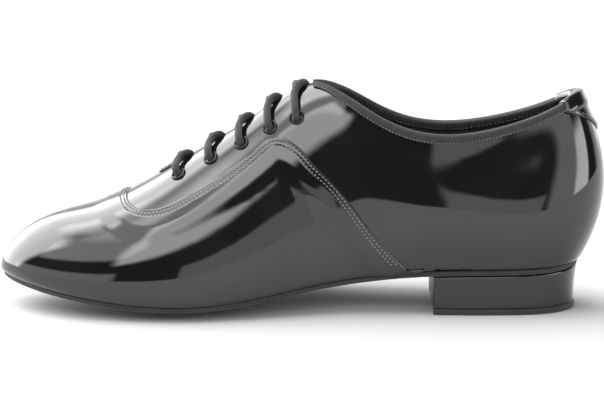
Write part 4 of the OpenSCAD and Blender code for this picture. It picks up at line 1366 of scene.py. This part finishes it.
def makeSole():
    us = np.concatenate([np.linspace(0.0, 1.0, 60, endpoint=False), np.linspace(1.0, 11.0, 330,
            endpoint=False),
                         np.linspace(11.0, 12.0, 60)])
    top, low = sole["top"], sole["top"] - sole["thick"]
    wall = [(2.4, top), (0.25, top), (0.04, top - 0.12), (0.0, top - 0.45), (0.02, top - 0.85),
            (0.2, top - 0.98), (0.22, top - 1.1),
            (0.02, top - 1.22), (0.0, top - 1.6), (0.05, low + 0.25), (0.22, low + 0.06), (0.6, low), (2.4,
                    low)]
    loopU = np.concatenate([us, us[::-1][1:-1]])
    loopSide = np.concatenate([np.full(len(us), inner), np.full(len(us) - 2, outer)])
    s = station(loopU)[0]
    h = edgeHeight(s)
    rings = []
    for inset, z in wall:
        grow = rng.normal(0, sole["fuzz"], len(loopU)) if 0 < abs(z - top) < sole["thick"] - 0.01 else 0
        reach = np.minimum(sole["inset"] + inset, halfWidth(loopU) * 0.9 + sole["inset"] * 0.6)
        floorHeight = max(0.0, (z - low) * 0.98)
        rings.append(outlinePoint(loopU, loopSide, reach - grow * 0.6, np.maximum(h + z, floorHeight)))
    ring = np.array(rings)
    points = ring.reshape(-1, 3)
    nj = len(loopU)
    faces = gridFaces(len(wall), nj, closeJ=True)
    # top and underside, laid in strips from side to side
    n = len(us)
    strips = 16
    for k, up in ((0, True), (len(wall) - 1, False)):
        a = ring[k][:n]
        b = np.vstack([ring[k][:1], ring[k][n:][::-1], ring[k][n - 1:n]])
        w = np.linspace(0, 1, strips)[None, :, None]
        grid = a[:, None] * (1 - w) + b[:, None] * w
        sag = station(us)[0]
        d = np.linspace(-1, 1, strips)
        grid[..., 2] -= sag[:, 13][:, None] * (1 - d[None] ** 2)
        if not up:
            grid[..., 2] = np.maximum(grid[..., 2], 0)
        base = len(points)
        points = np.vstack([points, grid.reshape(-1, 3)])
        faces += gridFaces(n, strips, start=base, flip=up)
    return points, faces


points, faces = makeSole()
used, faces = cleanFaces(points, faces)
newPiece("soleSuede", points[used], faces, soleNap, slot="suede", stands=("outsole",))

# heel
heel = {"breast": 8.33, "inset": 1.2, "taper": 1.4, "topPiece": 2.4, "gap": 0.35}


def heelLoop(inset, height, count=260, soften=1.6):
    us = np.linspace(heel["breast"], heelU, 150)
    side = np.concatenate([np.full(150, inner), np.full(149, outer)])
    u = np.concatenate([us, us[::-1][1:]])
    s = station(u)[0]
    z = height(edgeHeight(s))
    p = outlinePoint(u, side, inset, z)
    w = np.linspace(0, 1, 60)[1:-1, None]
    face = p[-1] * (1 - w) + p[0] * w
    face[:, 0] += 0.8 * np.sin(math.pi * w[:, 0])
    loop = np.vstack([p, face, p[:1]])
    run = np.concatenate([[0], np.cumsum(np.linalg.norm(np.diff(loop, axis=0), axis=1))])
    spots = np.linspace(0, run[-1], 1200, endpoint=False)
    even = np.stack([np.interp(spots, run, loop[:, d]) for d in range(3)], 1)
    width = max(1, int(soften / (run[-1] / 1200)))
    kernel = np.exp(-np.linspace(-2, 2, 4 * width + 1) ** 2)
    kernel /= kernel.sum()
    pad = 2 * width
    wrapped = np.vstack([even[-pad:], even, even[:pad]])
    soft = np.stack([np.convolve(wrapped[:, d], kernel, "valid") for d in range(3)], 1)
    return soft[::int(1200 / count)]


def loftLoops(loops, closeTop=True, closeLow=True):
    n = len(loops[0])
    points = np.vstack(loops)
    faces = gridFaces(len(loops), n, closeJ=True)
    for loop, low in ((loops[0], True), (loops[-1], False)):
        if not (closeLow if low else closeTop):
            continue
        centre = loop.mean(0)
        start = 0 if low else (len(loops) - 1) * n
        previous = list(range(start, start + n))
        for f in (0.75, 0.5, 0.25):
            base = len(points)
            points = np.vstack([points, centre + (loop - centre) * f])
            ring = list(range(base, base + n))
            for k in range(n):
                q = [previous[k], previous[(k + 1) % n], ring[(k + 1) % n], ring[k]]
                faces.append(q[::-1] if low else q)
            previous = ring
        base = len(points)
        points = np.vstack([points, centre[None]])
        for k in range(n):
            q = [previous[k], previous[(k + 1) % n], base]
            faces.append(q[::-1] if low else q)
    return points, faces


def makeHeelCover():
    low = heel["topPiece"] + 0.15
    loops = []
    for t in [0, 0.01, 0.03, 0.07] + list(np.linspace(0.12, 0.94, 26)) + [0.97, 0.985, 1.0]:
        roll = 0.45 * (1 - min(1, t / 0.05)) ** 2 + 0.5 * max(0, (t - 0.96) / 0.04) ** 2
        inset = heel["inset"] + heel["taper"] * (1 - t) + 0.35 * math.sin(math.pi * t) + roll
        loops.append(heelLoop(inset, lambda h,
                t=t: low + (h - sole["thick"] - 0.3 - heel["gap"] - low) * t))
    return loftLoops(loops)


points, faces = makeHeelCover()
newPiece("heelCover", points, faces, patent, slot="patent", stands=("heel_cover",))


def makeTopPiece():
    loops = []
    t = heel["topPiece"]
    base = heel["inset"] + heel["taper"] - 0.5
    for inset, z in [(0.5, 0.0), (0.15, 0.03), (0.0, 0.25), (-0.02, 0.8), (0.1, 1.0), (0.1, 1.15),
            (-0.02, 1.35), (0, 2.0),
                     (0.08, t - 0.15), (0.3, t)]:
        loop = heelLoop(base + inset, lambda h, z=z: np.full_like(h, z), soften=1.2)
        if 0.1 < z < t:
            centre = loop.mean(0)
            out = unit((loop - centre) * np.array([1, 1, 0]))
            loop = loop + out * rng.normal(0, 0.05, len(loop))[:, None]
        loops.append(loop)
    return loftLoops(loops)


points, faces = makeTopPiece()
newPiece("heelTopPiece", points, faces, heelNap, slot="suede", stands=("heel_top_piece",))
report("sole and heel made")

# pieces kept as they are, with their own finish
hiddenFinishes = {
    "toe_puff": stiffFelt, "heel_counter": stiffFelt,
    "facing_stay_medial": stiffFelt, "facing_stay_lateral": stiffFelt,
    "aglets": tipPlastic, "insole_board": fibreBoard, "ball_filler": corkFinish,
    "shank": springSteel, "shank_rivets": springSteel, "heel_block": heelStack,
    "heel_nails": springSteel, "heel_screw": springSteel,
}
for name, finish in hiddenFinishes.items():
    nodes[name].data.materials.clear()
    nodes[name].data.materials.append(finish)
